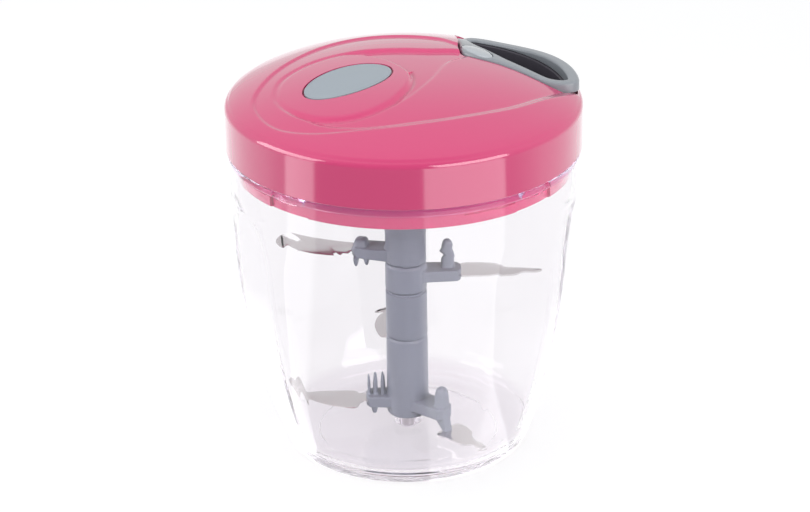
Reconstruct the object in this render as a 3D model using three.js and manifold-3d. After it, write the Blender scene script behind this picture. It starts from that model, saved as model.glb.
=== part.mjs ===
import * as THREE from 'three';
import { mergeVertices } from 'three/addons/utils/BufferGeometryUtils.js';
import Module from 'manifold-3d';

// Pull-cord food chopper: a clear fluted bowl, a blade set on a centre pin, and a lid that holds the
// cord reel, its return spring and a one-way clutch. Millimetres, +Z up, +X the way the handle pulls.

// Fits shared by all pieces
const gap = 0.3;
const overrun = 12;

// Bowl
const bowlHeight = 121;
const bowlRimRadius = 65.2;
const bowlBellyShare = 0.313;
const bowlBellyPower = 2.8;
const bowlFootShare = 0.61;
const bowlCornerHeight = 5.1;
const bowlWall = 2.6;
const bowlFloor = 4.6;
const bowlFillet = 8;
const footWidth = 5.8;
const footHollow = 0.8;
const beadHeight = 2.7;
const beadProud = 0.5;
const fluteCount = 10;
const fluteAngle = 28;
const fluteHalfAngle = 13.5;
const fluteDepth = 1.3;
const fluteTopShare = 0.868;
const fluteShoulderShare = 0.678;
const fluteFootShare = 0.058;
const fluteFadeShare = 0.116;
const lugCount = 4;
const lugAngle = 15;
const lugHalfAngle = 7;
const lugReach = 1.4;
const lugHeight = 3.2;
const lugDrop = 1.4;
const pinRadius = 2.4;
const pinFoot = 2.4;
const pinTop = 24;
const pinBossRadius = 5.2;
const pinBossHeight = 3.4;

// Lid cover, its dome and the pressed terraces round the badge
const skirtProud = 1.2;
const skirtWall = 2.2;
const skirtHeight = 18.2;
const domeHeight = 13.5;
const domePower = 2.6;
const domeWall = 3.8;
const shoulderDrop = 1;
const swirlDepth = 0.7;
const dialDepth = 1.6;
const dialShare = 0.382;
const dialXShare = -0.378;
const dialYShare = -0.031;
const badgeLengthShare = 0.558;
const badgeWidthShare = 0.306;
const badgeXShare = -0.367;
const badgeSink = 2.4;
const badgeThickness = 1.4;
const coverScrewBossRadius = 4;
const axleBossRadius = 7;
const axleBossGap = 0.4;

// Swirl outline over the skirt radius: the large comma pressed into the dome
const swirlShares = [
  [0.36, 0.04], [0.12, 0.22], [-0.17, 0.34], [-0.45, 0.38], [-0.66, 0.35], [-0.81, 0.25], [-0.885, 0.04],
  [-0.86, -0.21], [-0.73, -0.41], [-0.43, -0.61], [-0.1, -0.71], [0.22, -0.72], [0.5, -0.67], [0.68, -0.57],
];

// Handle, its finger hole, the lid's recess and pocket for it, and the tray that lines the pocket
const handleInset = 0.1;
const handleWidthShare = 0.551;
const handleRimThickness = 2.65;
const handleSink = 0.9;
const holeInset = 11.8;
const loopWidth = 4.4;
const recessGap = 0.8;
const recessWall = 2;
const pocketInset = 3.8;
const pocketDepth = 12.2;
const trayWall = 1.2;
const capLength = 8;
const capHalfWidth = 8.5;
const capThickness = 1.3;
const capInset = 1.7;
const handleEdgeShares = [
  [0, 0], [0.07, 0.15], [0.26, 0.36], [0.44, 0.62], [0.61, 0.84], [0.79, 0.975], [1, 1],
];
const holeEdgeShares = [
  [0, 0], [0.03, 0.28], [0.16, 0.48], [0.42, 0.74], [0.66, 0.92], [0.84, 0.99], [1, 1],
];

// Lid base, seal, screws
const baseDrop = 8.7;
const baseClearance = 0.6;
const baseWall = 3;
const baseFloor = 2.5;
const baseFlangeHeight = 2;
const sealInset = 0.1;
const sealWidth = 1.4;
const sealHeight = 1.4;
const lockAngle = 20;
const slotSlack = 1.5;
const screwInset = 14;
const screwAngles = [62, 150, 210, 298];
const screwHeadRadius = 3.3;
const screwHeadHeight = 2.4;
const screwHeadSink = 0.5;
const screwRadius = 1.6;
const screwLength = 14;
const screwDriveWidth = 0.9;
const screwDriveDepth = 1.2;
const screwDriveShare = 0.7;
const screwSeatRadius = 5.2;
const screwSeatHeight = 3.4;

// Drive: socket below the lid base, its bush, the pawl carrier and the two pawls
const bushInner = 7.6;
const bushOuter = 10;
const bushFlangeRadius = 12;
const bushFlange = 1;
const socketRadius = 12;
const socketBore = 9.2;
const socketHeight = 14.2;
const socketRoof = 2.4;
const dogCount = 3;
const dogHalfAngle = 15;
const dogOffset = 60;
const dogTipRadius = 5.2;
const stemHexRadius = 5;
const carrierRadius = 15.2;
const carrierThickness = 2.8;
const carrierLift = 4;
const pawlPinCircle = 10;
const pawlPinRadius = 1.5;
const pawlBossRadius = 2.9;
const pawlThickness = 3.2;
const pawlTipRadius = 18.4;
const pawlTipAngle = -34;
const pawlTipWidth = 1.9;
const pawlClearAngle = 2.4;

// Reel, cord, spring, axle
const reelRadius = 22.5;
const reelFloorLift = 15.2;
const reelPlate = 2;
const ratchetTip = 17.6;
const ratchetRoot = 19.8;
const ratchetCount = 12;
const ratchetSlant = 9;
const ratchetLipHeight = 10.4;
const spoolRadius = 16;
const spoolFlange = 1.5;
const spoolHeight = 15;
const springCupRadius = 14;
const springCupFloor = 4;
const cordRadius = 0.9;
const windingTurns = 4;
const windingPitch = 2.35;
const windingSteps = 24;
const windingSides = 6;
const cordExitDrop = 1.3;
const reelClearance = 0.5;
const eyeletRadius = 2.9;
const eyeletLip = 0.9;
const eyeletFlare = 1.3;
const leadBendShare = 0.8;
const knotRadius = 2.4;
const knotInset = 6.6;
const axleRadius = 3;
const axleRoof = 3.4;
const arborRadius = 4.6;
const springThickness = 0.45;
const springTurns = 5;
const springSteps = 14;
const springCoverThickness = 1;
const washerRadius = 6;
const washerThickness = 0.8;
const axleScrewRadius = 1.2;
const axleScrewHeadRadius = 2.8;
const axleScrewHeadHeight = 1.8;
const axleScrewLength = 8;

// Blade set: three stacked sleeves and a head on one core, and five blades
const shaftFoot = 9.2;
const shaftFootRadius = 8.2;
const shaftTopRadius = 7.7;
const lowerHubShare = 0.435;
const spacerShare = 0.635;
const upperHubShare = 0.752;
const grooveDepth = 0.45;
const grooveHeight = 0.7;
const coreRadius = 4.6;
const coreFlats = 6;
const neckRadius = 4.4;
const neckGap = 1.8;
const headDogRadius = 8.8;
const bladeWidth = 12;
const bladeThickness = 0.8;
const tangRoot = 12;
const tangHalfWidth = 3;
const armReach = 20.5;
const armThickness = 4.4;
const armRootHalfWidth = 5.2;
const armEndShare = 0.8;
const armNoseShare = 0.3;
const postBodyShare = 0.8;
const legReach = 1.4;
const legHalfWidth = 1.8;
const stripHalfWidth = 0.9;
const tipRise = 6.5;

// The way each blade points out from the shaft
const upperLeftAngle = 132;
const upperRightAngle = -31;
const middleAngle = 66;
const lowerLeftAngle = 148;
const lowerRightAngle = -76;

// Each blade: its name, the sleeve that holds it, its outline and its angle
const blades = [
  { name: 'blade_upper_left', hub: 'head', shape: 'leaf', angle: upperLeftAngle },
  { name: 'blade_upper_right', hub: 'upper', shape: 'hook', angle: upperRightAngle },
  { name: 'blade_middle', hub: 'lower', shape: 'leaf', angle: middleAngle },
  { name: 'blade_lower_left', hub: 'lower', shape: 'raised', angle: lowerLeftAngle },
  { name: 'blade_lower_right', hub: 'lower', shape: 'hook', angle: lowerRightAngle },
];

// Each blade's height over the shaft's, reach over the bowl's rim radius, width, and arm's reach
const bladeShares = {
  blade_upper_left: [0.782, 0.787, 1, 1],
  blade_upper_right: [0.699, 0.782, 1.05, 1.024],
  blade_middle: [0.321, 0.729, 1, 0.805],
  blade_lower_left: [0.151, 0.696, 1.083, 0.805],
  blade_lower_right: [0.0704, 0.614, 1, 1],
};

// The lowest blade hangs on a leg: its arm's height, then the leg's places and widths
const leggedBlade = 'blade_lower_right';
const legArmShare = 0.1501;
const legTopShare = 0.849;
const legFootShare = 0.307;
const legTopLong = 6;
const legTopWide = 5;

// Blade outlines: shares of the length beyond the tang's root, and of the width, cutting side first
const outlineShares = {
  leaf: [
    [0.26, 0.6], [0.53, 0.66], [0.73, 0.49], [0.86, 0.27], [0.89, 0.5], [1, 0.1], [1, -0.36],
    [0.94, -0.33], [0.81, -0.4], [0.56, -0.36], [0.4, -0.3], [0.26, -0.28],
  ],
  hook: [
    [0.26, 0.62], [0.54, 0.54], [0.66, 0.27], [0.77, 0.19], [1, 0.02], [0.95, -0.17], [0.82, -0.16],
    [0.72, -0.36], [0.45, -0.37], [0.26, -0.36],
  ],
  raised: [
    [0.24, 0.66], [0.48, 0.5], [0.66, 0.24], [0.78, 0.02], [0.82, 0.48], [0.82, -0.4], [0.6, -0.45],
    [0.26, -0.42],
  ],
};
const raisedTipShares = [[0.82, 0.48], [0.82, -0.4], [1, -0.44], [1, -0.04]];

// Pegs that stand on the arms and fins that hang below them, over the arms' reach: place along and across
// the arm, length, width and rise, and then how narrow the tip is
const pegShares = {
  blade_upper_left: [
    [0.839, 0.029, 0.254, 0.293, 0.166, 0.7],
    [0.712, 0.117, 0.078, 0.195, -0.176, 0.2],
    [0.907, 0.156, 0.078, 0.195, -0.205, 0.2],
  ],
  blade_upper_right: [[0.771, 0.039, 0.244, 0.244, 0.566, 0.45]],
  blade_middle: [[0.663, 0, 0.205, 0.244, 0.341, 0.5]],
  blade_lower_left: [
    [0.468, 0, 0.073, 0.215, 0.468, 0.2],
    [0.605, 0, 0.088, 0.215, 0.468, 0.2],
    [0.732, 0, 0.073, 0.215, 0.42, 0.2],
    [0.624, 0.127, 0.117, 0.146, -0.176, 0.3],
  ],
  blade_lower_right: [[0.849, 0.02, 0.224, 0.254, 0.41, 0.6]],
};

// Counts that set how round the pieces are
const largeSegments = 50;
const smallSegments = 26;
const tinySegments = 16;
const fluteSteps = 6;
const wallSteps = 8;
const cornerSteps = 4;
const domeSteps = 6;
const edgeSteps = 24;
const swirlSteps = 32;

// Radii and widths that follow from the bowl's rim and the reel
const bowlBelly = bowlRimRadius * bowlBellyShare;
const bowlFootRadius = bowlRimRadius * bowlFootShare;
const skirtRadius = bowlRimRadius + skirtProud;
const domeRadius = skirtRadius - shoulderDrop;
const baseRadius = bowlRimRadius - bowlWall - baseClearance;
const baseFlangeRadius = skirtRadius - skirtWall - gap;
const sealOuter = baseFlangeRadius - sealInset;
const sealInner = sealOuter - sealWidth;
const screwCircle = baseRadius - screwInset;
const handleTip = reelRadius + reelClearance + eyeletLip + gap + recessWall + recessGap;
const handleArcRadius = domeRadius - handleInset;
const handleHalfWidth = handleArcRadius * handleWidthShare;
const knotX = handleTip + knotInset;
const dialRadius = domeRadius * dialShare;
const badgeX = domeRadius * badgeXShare;
const badgeHalfLength = (domeRadius * badgeLengthShare) / 2;
const badgeHalfWidth = (domeRadius * badgeWidthShare) / 2;

// Heights that follow from the sizes above
const fluteTop = bowlHeight * fluteTopShare;
const fluteShoulder = bowlHeight * fluteShoulderShare;
const fluteFoot = bowlHeight * fluteFootShare;
const fluteFade = bowlHeight * fluteFadeShare;
const baseBottom = bowlHeight - baseDrop;
const baseTop = baseBottom + baseFloor;
const shoulder = bowlHeight + gap + skirtHeight;
const sealBottom = bowlHeight + gap;
const flangeBottom = sealBottom + sealHeight + gap;
const ledge = shoulder + gap / 2;
const pocketFloor = ledge - pocketDepth;
const socketTop = baseBottom - 2 * gap;
const carrierBottom = baseTop + carrierLift;
const carrierTop = carrierBottom + carrierThickness;
const reelFloor = baseTop + reelFloorLift;
const spoolBottom = reelFloor + reelPlate;
const spoolTop = spoolBottom + spoolHeight;
const cordExitHeight = spoolTop - spoolFlange - cordExitDrop;
const axleTop = shoulder + domeHeight - axleRoof;
const handleRim = ledge + gap + handleRimThickness;
const headTop = socketTop - socketHeight - 3 * gap;
const lowerHubTop = headTop * lowerHubShare;
const spacerTop = headTop * spacerShare;
const upperHubTop = headTop * upperHubShare;
const neckTop = socketTop - socketRoof - neckGap;
const windingRadius = spoolRadius + gap + cordRadius;

const wasm = await Module();
wasm.setup();

const degrees = (angle) => (angle * Math.PI) / 180;

// Closes a geometry into a solid with its faces pointing out
function solid(geometry) {
  geometry.deleteAttribute('normal');
  geometry.deleteAttribute('uv');
  const merged = mergeVertices(geometry);
  const places = merged.attributes.position.array;
  const index = merged.index.array;
  const triangles = [];
  const a = new THREE.Vector3();
  const b = new THREE.Vector3();
  const c = new THREE.Vector3();
  let volume = 0;
  for (let i = 0; i < index.length; i += 3) {
    const [p, q, r] = [index[i], index[i + 1], index[i + 2]];
    if (p === q || q === r || p === r) continue;
    triangles.push(p, q, r);
    a.fromArray(places, 3 * p);
    b.fromArray(places, 3 * q);
    c.fromArray(places, 3 * r);
    volume += a.dot(b.cross(c));
  }
  if (volume < 0) triangles.reverse();
  return new wasm.Manifold(new wasm.Mesh({
    numProp: 3,
    vertProperties: new Float32Array(places),
    triVerts: new Uint32Array(triangles),
  }));
}

const join = (first, ...others) => others.reduce((whole, other) => whole.add(other), first);
const cut = (first, ...others) => others.reduce((whole, other) => whole.subtract(other), first);

// A solid turned about Z from a profile of radius and height
function turned(profile, segments = smallSegments) {
  const points = profile.map(([radius, height]) => new THREE.Vector2(radius, height));
  return solid(new THREE.LatheGeometry(points, segments).rotateX(Math.PI / 2));
}

// A closed ring, or a disc when the inner radius is zero
function ring(outer, inner, bottom, top, segments = smallSegments) {
  if (inner === 0) return turned([[0, bottom], [outer, bottom], [outer, top], [0, top]], segments);
  return turned([[inner, bottom], [outer, bottom], [outer, top], [inner, top], [inner, bottom]], segments);
}

// A straight-sided solid with the given plan outline
function prism(outline, bottom, top) {
  const shape = new THREE.Shape(outline.map(([x, y]) => new THREE.Vector2(x, y)));
  const geometry = new THREE.ExtrudeGeometry(shape, { depth: top - bottom, bevelEnabled: false });
  return solid(geometry.translate(0, 0, bottom));
}

// Moves a solid, turning it about Z first
function placed(body, x, y, z = 0, angle = 0) {
  return body.rotate([0, 0, angle]).translate([x, y, z]);
}

// Plan outline of a slice of a ring, angles in degrees
function sectorOutline(inner, outer, start, end, steps = cornerSteps) {
  const outline = [];
  for (let i = 0; i <= steps; i++) {
    const angle = degrees(start + ((end - start) * i) / steps);
    outline.push([outer * Math.cos(angle), outer * Math.sin(angle)]);
  }
  for (let i = steps; i >= 0; i--) {
    const angle = degrees(start + ((end - start) * i) / steps);
    outline.push([inner * Math.cos(angle), inner * Math.sin(angle)]);
  }
  return outline;
}

// Plan outline of a smooth closed or open curve through points
function smooth(points, steps, closed = false) {
  const places = points.map(([x, y]) => new THREE.Vector3(x, y, 0));
  const curve = new THREE.CatmullRomCurve3(places, closed, 'centripetal');
  return curve.getPoints(steps).slice(0, closed ? steps : steps + 1).map((p) => [p.x, p.y]);
}

function ellipseOutline(x, y, halfLength, halfWidth, steps) {
  return Array.from({ length: steps }, (_, i) => {
    const angle = (2 * Math.PI * i) / steps;
    return [x + halfLength * Math.cos(angle), y + halfWidth * Math.sin(angle)];
  });
}

// Plan outline of the handle family: a blunt tip towards the lid's centre and an arc at the lid's edge
function fanOutline(tip, halfWidth, arcRadius, shares) {
  const corner = Math.sqrt(arcRadius ** 2 - halfWidth ** 2);
  const side = shares.map(([along, across]) => [tip + (corner - tip) * along, halfWidth * across]);
  const mirrored = side.slice(1).reverse().map(([x, y]) => [x, -y]);
  const edge = smooth([...mirrored, ...side], edgeSteps);
  const end = (Math.asin(halfWidth / arcRadius) * 180) / Math.PI;
  const arc = [];
  for (let i = 1; i < 3 * cornerSteps; i++) {
    const angle = degrees(end - (2 * end * i) / (3 * cornerSteps));
    arc.push([arcRadius * Math.cos(angle), arcRadius * Math.sin(angle)]);
  }
  return [...edge, ...arc];
}

// A closed outline moved outwards by a distance
function grown(outline, distance) {
  const turn = Math.sign(THREE.ShapeUtils.area(outline.map(([x, y]) => new THREE.Vector2(x, y))));
  return outline.map(([x, y], i) => {
    const [beforeX, beforeY] = outline[(i + outline.length - 1) % outline.length];
    const [afterX, afterY] = outline[(i + 1) % outline.length];
    const length = Math.hypot(afterX - beforeX, afterY - beforeY) * turn;
    return [x + ((afterY - beforeY) / length) * distance, y - ((afterX - beforeX) / length) * distance];
  });
}

// Radius of the bowl's outside at a height
function bowlRadius(z) {
  return bowlRimRadius - bowlBelly * (1 - z / bowlHeight) ** bowlBellyPower;
}

// How deep the flutes cut in at an angle and height: concave petals with arched tops
function fluteCut(angle, z) {
  const pitch = 360 / fluteCount;
  const off = Math.abs(((((angle - fluteAngle) % pitch) + 1.5 * pitch) % pitch) - pitch / 2);
  const rise = Math.max(0, (z - fluteShoulder) / (fluteTop - fluteShoulder));
  const fade = Math.min(1, Math.max(0, (z - fluteFoot) / fluteFade));
  return fluteDepth * fade * Math.max(0, 1 - (off / fluteHalfAngle) ** 2 - rise ** 2);
}

// The bowl's outer body, its rings of points closed at the foot and the rim
function flutedBody() {
  const rows = [];
  for (let i = 0; i < cornerSteps; i++) {
    const turn = (Math.PI / 2) * (i / cornerSteps);
    const reach = bowlRadius(bowlCornerHeight) - bowlFootRadius;
    rows.push([bowlFootRadius + reach * Math.sin(turn), bowlCornerHeight * (1 - Math.cos(turn))]);
  }
  for (let i = 0; i <= wallSteps; i++) {
    const z = bowlCornerHeight + ((bowlHeight - bowlCornerHeight) * i) / wallSteps;
    rows.push([bowlRadius(z), z]);
  }
  const around = fluteCount * fluteSteps;
  const places = [];
  for (const [radius, z] of rows) {
    for (let j = 0; j < around; j++) {
      const angle = fluteAngle + (360 * j) / around;
      const r = radius - fluteCut(angle, z);
      places.push(r * Math.cos(degrees(angle)), r * Math.sin(degrees(angle)), z);
    }
  }
  places.push(0, 0, 0, 0, 0, bowlHeight);
  const bottomCentre = rows.length * around;
  const index = [];
  for (let j = 0; j < around; j++) {
    const next = (j + 1) % around;
    for (let i = 0; i + 1 < rows.length; i++) {
      const [a, b] = [i * around + j, i * around + next];
      index.push(a, b, b + around, a, b + around, a + around);
    }
    const top = (rows.length - 1) * around;
    index.push(next, j, bottomCentre, top + j, top + next, bottomCentre + 1);
  }
  const geometry = new THREE.BufferGeometry();
  geometry.setAttribute('position', new THREE.Float32BufferAttribute(places, 3));
  geometry.setIndex(index);
  return solid(geometry);
}

function bowlSolid() {
  const inner = [[0, bowlFloor]];
  const filletTop = bowlFloor + bowlFillet;
  const filletStart = bowlRadius(filletTop) - bowlWall - bowlFillet;
  for (let i = 0; i <= cornerSteps; i++) {
    const turn = (Math.PI / 2) * (i / cornerSteps);
    inner.push([filletStart + bowlFillet * Math.sin(turn), bowlFloor + bowlFillet * (1 - Math.cos(turn))]);
  }
  for (let i = 1; i <= wallSteps / 2; i++) {
    const z = filletTop + ((bowlHeight - filletTop) * i) / (wallSteps / 2);
    inner.push([bowlRadius(z) - bowlWall, z]);
  }
  inner.push([bowlRimRadius - bowlWall, bowlHeight + overrun], [0, bowlHeight + overrun]);
  const beadRadius = bowlRimRadius + beadProud;
  const wallMiddle = bowlRimRadius - bowlWall / 2;
  const bead = ring(beadRadius, wallMiddle, bowlHeight - beadHeight, bowlHeight, largeSegments);
  const boss = ring(pinBossRadius, 0, bowlFloor - gap, bowlFloor + pinBossHeight);
  let bowl = join(cut(flutedBody(), turned(inner, largeSegments)), bead, boss);
  const lugInner = bowlRimRadius - bowlWall - lugReach;
  const lugTop = bowlHeight - lugDrop;
  for (let i = 0; i < lugCount; i++) {
    const middle = lugAngle + (360 * i) / lugCount;
    const outline = sectorOutline(lugInner, wallMiddle, middle - lugHalfAngle, middle + lugHalfAngle);
    bowl = bowl.add(prism(outline, lugTop - lugHeight, lugTop));
  }
  const pinHole = ring(pinRadius + gap, 0, pinFoot - gap, bowlFloor + overrun);
  const hollow = ring(bowlFootRadius - footWidth, 0, -overrun, footHollow, largeSegments);
  return cut(bowl, pinHole, hollow);
}

const bowlPin = () => turned([
  [0, pinFoot], [pinRadius, pinFoot], [pinRadius, pinTop - pinRadius / 2], [pinRadius / 2, pinTop],
  [0, pinTop],
]);

// A solid under the dome surface, raised or lowered by an offset
function domeSolid(offset, bottom) {
  const rim = shoulder + offset;
  const profile = [[0, bottom], [domeRadius + overrun, bottom], [domeRadius + overrun, rim]];
  for (let i = domeSteps; i >= 0; i--) {
    const share = Math.sin((Math.PI / 2) * (i / domeSteps));
    profile.push([domeRadius * share, rim + domeHeight * (1 - share ** domePower)]);
  }
  return turned(profile, largeSegments);
}

const handleOutline = fanOutline(handleTip, handleHalfWidth, handleArcRadius, handleEdgeShares);
const pocketOutline = fanOutline(
  handleTip + pocketInset, handleHalfWidth - pocketInset, handleArcRadius - pocketInset, handleEdgeShares,
);
const holeOutline = fanOutline(
  handleTip + holeInset, handleHalfWidth - loopWidth, handleArcRadius - loopWidth, holeEdgeShares,
);
const swirlPoints = swirlShares.map(([x, y]) => [x * skirtRadius, y * skirtRadius]);
const swirlOutline = () => smooth(swirlPoints, swirlSteps);

function screwPlace(i) {
  const angle = degrees(screwAngles[i]);
  return [screwCircle * Math.cos(angle), screwCircle * Math.sin(angle)];
}

function lidCoverSolid() {
  const bottom = bowlHeight + gap;
  const top = shoulder + domeHeight + overrun;
  const skirt = turned([
    [0, bottom], [skirtRadius, bottom], [skirtRadius, shoulder - shoulderDrop],
    [domeRadius, shoulder], [domeRadius, top], [0, top],
  ], largeSegments);
  const outer = skirt.intersect(domeSolid(0, bottom - overrun));
  const hollow = turned([
    [0, bottom - overrun], [skirtRadius - skirtWall, bottom - overrun],
    [skirtRadius - skirtWall, shoulder - domeWall], [skirtRadius - 2 * skirtWall, top], [0, top],
  ], largeSegments).intersect(domeSolid(-domeWall, bottom - 2 * overrun));
  const bosses = screwAngles.map((_, i) => {
    const [x, y] = screwPlace(i);
    return placed(ring(coverScrewBossRadius, 0, baseTop + screwSeatHeight + gap, top, tinySegments), x, y);
  });
  const inside = join(
    prism(grown(handleOutline, recessGap + recessWall), ledge - recessWall, top),
    prism(grown(pocketOutline, recessWall), pocketFloor - recessWall, top),
    ring(axleBossRadius, 0, spoolTop + axleBossGap, top), ...bosses,
  );
  const cover = join(cut(outer, hollow), inside.intersect(outer));
  const bores = screwAngles.map((_, i) => {
    const [x, y] = screwPlace(i);
    return placed(ring(screwRadius + gap, 0, bottom - overrun, screwTop() + gap, tinySegments), x, y);
  });
  const eyeletHole = ring(eyeletRadius + gap, 0, -overrun, overrun, tinySegments)
    .rotate([0, 90, 0]).translate([handleTip - recessGap - recessWall / 2, 0, cordExitHeight]);
  const swirl = cut(prism(swirlOutline(), shoulder - overrun, top), domeSolid(-swirlDepth, bottom));
  const dialOutline = ellipseOutline(
    domeRadius * dialXShare, domeRadius * dialYShare, dialRadius, dialRadius, largeSegments / 2,
  );
  const dial = cut(prism(dialOutline, shoulder - overrun, top), domeSolid(-dialDepth, bottom));
  const seat = cut(prism(badgeOutline(gap), shoulder, top), domeSolid(-badgeSink - gap, bottom));
  return cut(
    cover, ...bores, eyeletHole, swirl, dial, seat,
    prism(grown(handleOutline, recessGap), ledge, top), prism(pocketOutline, pocketFloor, top),
    ring(axleRadius + gap, 0, bottom, axleTop + gap, tinySegments),
  );
}

function badgeOutline(extra) {
  return ellipseOutline(badgeX, 0, badgeHalfLength + extra, badgeHalfWidth + extra, smallSegments);
}

function badgeSolid() {
  const bottom = shoulder - overrun;
  const column = prism(badgeOutline(0), shoulder, shoulder + 2 * domeHeight);
  const plate = domeSolid(badgeThickness - badgeSink, bottom).intersect(column);
  return cut(plate, domeSolid(-badgeSink, bottom - overrun));
}

// The dark tray that lines the finger pocket below the handle
function pocketTraySolid() {
  const floor = pocketFloor + gap;
  const tray = prism(grown(pocketOutline, -gap), floor, ledge - gap / 2);
  return cut(tray, prism(grown(pocketOutline, -gap - trayWall), floor + trayWall, ledge + overrun));
}

function lidBaseSolid() {
  const dish = turned([
    [bushOuter + gap, baseBottom], [baseRadius, baseBottom], [baseRadius, flangeBottom],
    [baseFlangeRadius, flangeBottom], [baseFlangeRadius, flangeBottom + baseFlangeHeight],
    [baseRadius - baseWall, flangeBottom + baseFlangeHeight], [baseRadius - baseWall, baseTop],
    [bushOuter + gap, baseTop], [bushOuter + gap, baseBottom],
  ], largeSegments);
  const seats = screwAngles.map((_, i) => {
    const [x, y] = screwPlace(i);
    return placed(ring(screwSeatRadius, 0, baseTop - gap, baseTop + screwSeatHeight, tinySegments), x, y);
  });
  const holes = screwAngles.map((_, i) => {
    const [x, y] = screwPlace(i);
    const head = ring(screwHeadRadius + gap, 0, baseBottom - overrun, screwHeadTop() + gap, tinySegments);
    return placed(head.add(ring(screwRadius + gap, 0, baseBottom, baseTop + overrun, tinySegments)), x, y);
  });
  const slots = [];
  const slotInner = bowlRimRadius - bowlWall - lugReach - gap;
  const slotTop = bowlHeight - lugDrop + gap;
  for (let i = 0; i < lugCount; i++) {
    const middle = lugAngle + (360 * i) / lugCount;
    const half = lugHalfAngle + slotSlack;
    const outer = baseRadius + overrun;
    const entry = sectorOutline(slotInner, outer, middle - half, middle + half);
    const run = sectorOutline(slotInner, outer, middle - half - lockAngle, middle);
    slots.push(prism(entry, baseBottom - overrun, slotTop));
    slots.push(prism(run, slotTop - lugHeight - 2 * gap, slotTop));
  }
  return cut(join(dish, ...seats), ...holes, ...slots);
}

const lidSeal = () => ring(sealOuter, sealInner, sealBottom, sealBottom + sealHeight, largeSegments);

// Heights of the base screws, which hang on the recessed faces in the lid base
function screwHeadTop() {
  return baseBottom + screwHeadSink + screwHeadHeight;
}

function screwTop() {
  return screwHeadTop() + screwLength;
}

function crossScrew(headRadius, headHeight, shankRadius, length) {
  const body = turned([
    [0, 0], [headRadius, 0], [headRadius, headHeight], [shankRadius, headHeight],
    [shankRadius, headHeight + length - shankRadius], [0, headHeight + length],
  ], tinySegments);
  const arm = headRadius * screwDriveShare;
  const half = screwDriveWidth / 2;
  const slot = [[-arm, -half], [arm, -half], [arm, half], [-arm, half]];
  const bar = prism(slot, -overrun, screwDriveDepth);
  return cut(body, bar, bar.rotate([0, 0, 90]));
}

function driveBushSolid() {
  const flangeBottomZ = baseTop + gap;
  return turned([
    [bushInner, baseBottom], [bushOuter, baseBottom], [bushOuter, flangeBottomZ],
    [bushFlangeRadius, flangeBottomZ], [bushFlangeRadius, flangeBottomZ + bushFlange],
    [bushInner, flangeBottomZ + bushFlange], [bushInner, baseBottom],
  ]);
}

// A ring of coupling dogs, each a slice of the ring
function dogs(inner, outer, bottom, top, offset) {
  return Array.from({ length: dogCount }, (_, i) => {
    const middle = offset + (360 * i) / dogCount;
    return prism(sectorOutline(inner, outer, middle - dogHalfAngle, middle + dogHalfAngle), bottom, top);
  });
}

function driveSocketSolid() {
  const bottom = socketTop - socketHeight;
  const roof = socketTop - socketRoof;
  const cup = turned([
    [0, roof], [socketBore, roof], [socketBore, bottom], [socketRadius, bottom], [socketRadius, socketTop],
    [bushInner - gap, socketTop], [bushInner - gap, carrierBottom - gap], [0, carrierBottom - gap],
  ]);
  const hex = ring(stemHexRadius, 0, carrierBottom - 2 * gap, carrierTop, coreFlats);
  const teeth = dogs(dogTipRadius, socketBore + gap, bottom + gap, roof + gap, dogOffset);
  return join(cup, hex, ...teeth);
}

function pawlCarrierSolid() {
  const disc = ring(carrierRadius, 0, carrierBottom, carrierTop);
  const pinTopZ = carrierTop + pawlThickness + 2 * gap;
  const pins = [0, 180].map((angle) => {
    const pin = ring(pawlPinRadius, 0, carrierTop - gap, pinTopZ, tinySegments);
    return pin.translate([pawlPinCircle, 0, 0]).rotate([0, 0, angle]);
  });
  const bore = ring(stemHexRadius + gap, 0, carrierBottom - overrun, carrierTop + overrun, coreFlats);
  return cut(join(disc, ...pins), bore);
}

// A point at a radius and an angle in degrees
const polar = (radius, angle) => [radius * Math.cos(degrees(angle)), radius * Math.sin(degrees(angle))];

// A pawl: a round eye on its pin and a tapering finger that trails into a tooth space of the reel
function pawlSolid(turn) {
  const outer = polar(pawlTipRadius, pawlTipAngle);
  const inner = polar(pawlTipRadius - pawlTipWidth, pawlTipAngle);
  const along = new THREE.Vector2(outer[0] - pawlPinCircle, outer[1]).normalize();
  const side = [-along.y * pawlBossRadius, along.x * pawlBossRadius];
  const finger = [[pawlPinCircle - side[0], -side[1]], inner, outer, [pawlPinCircle + side[0], side[1]]];
  const bottom = carrierTop + gap;
  const eye = placed(ring(pawlBossRadius, 0, bottom, bottom + pawlThickness, tinySegments), pawlPinCircle, 0);
  const hole = ring(pawlPinRadius + gap, 0, bottom - overrun, bottom + overrun, tinySegments);
  const bore = placed(hole, pawlPinCircle, 0);
  return cut(join(prism(finger, bottom, bottom + pawlThickness), eye), bore).rotate([0, 0, turn]);
}

function reelSolid() {
  const lip = reelFloor - ratchetLipHeight;
  const body = turned([
    [0, lip], [reelRadius, lip], [reelRadius, spoolBottom + spoolFlange],
    [spoolRadius, spoolBottom + spoolFlange], [spoolRadius, spoolTop - spoolFlange],
    [reelRadius, spoolTop - spoolFlange], [reelRadius, spoolTop], [0, spoolTop],
  ], largeSegments / 2);
  const teeth = [];
  const pitch = 360 / ratchetCount;
  const faceShare = (ratchetRoot - pawlTipRadius) / (ratchetRoot - ratchetTip);
  for (let i = 0; i < ratchetCount; i++) {
    const start = pawlTipAngle - pawlClearAngle + ratchetSlant * faceShare + pitch * i;
    teeth.push(polar(ratchetRoot, start), polar(ratchetTip, start + pitch - ratchetSlant));
  }
  const ratchet = prism(teeth, lip - overrun, reelFloor);
  const cup = ring(springCupRadius, 0, spoolBottom + springCupFloor, spoolTop + overrun, largeSegments / 2);
  const bore = ring(axleRadius + gap, 0, lip, spoolTop, tinySegments);
  return cut(body, ratchet, cup, bore);
}

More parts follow.
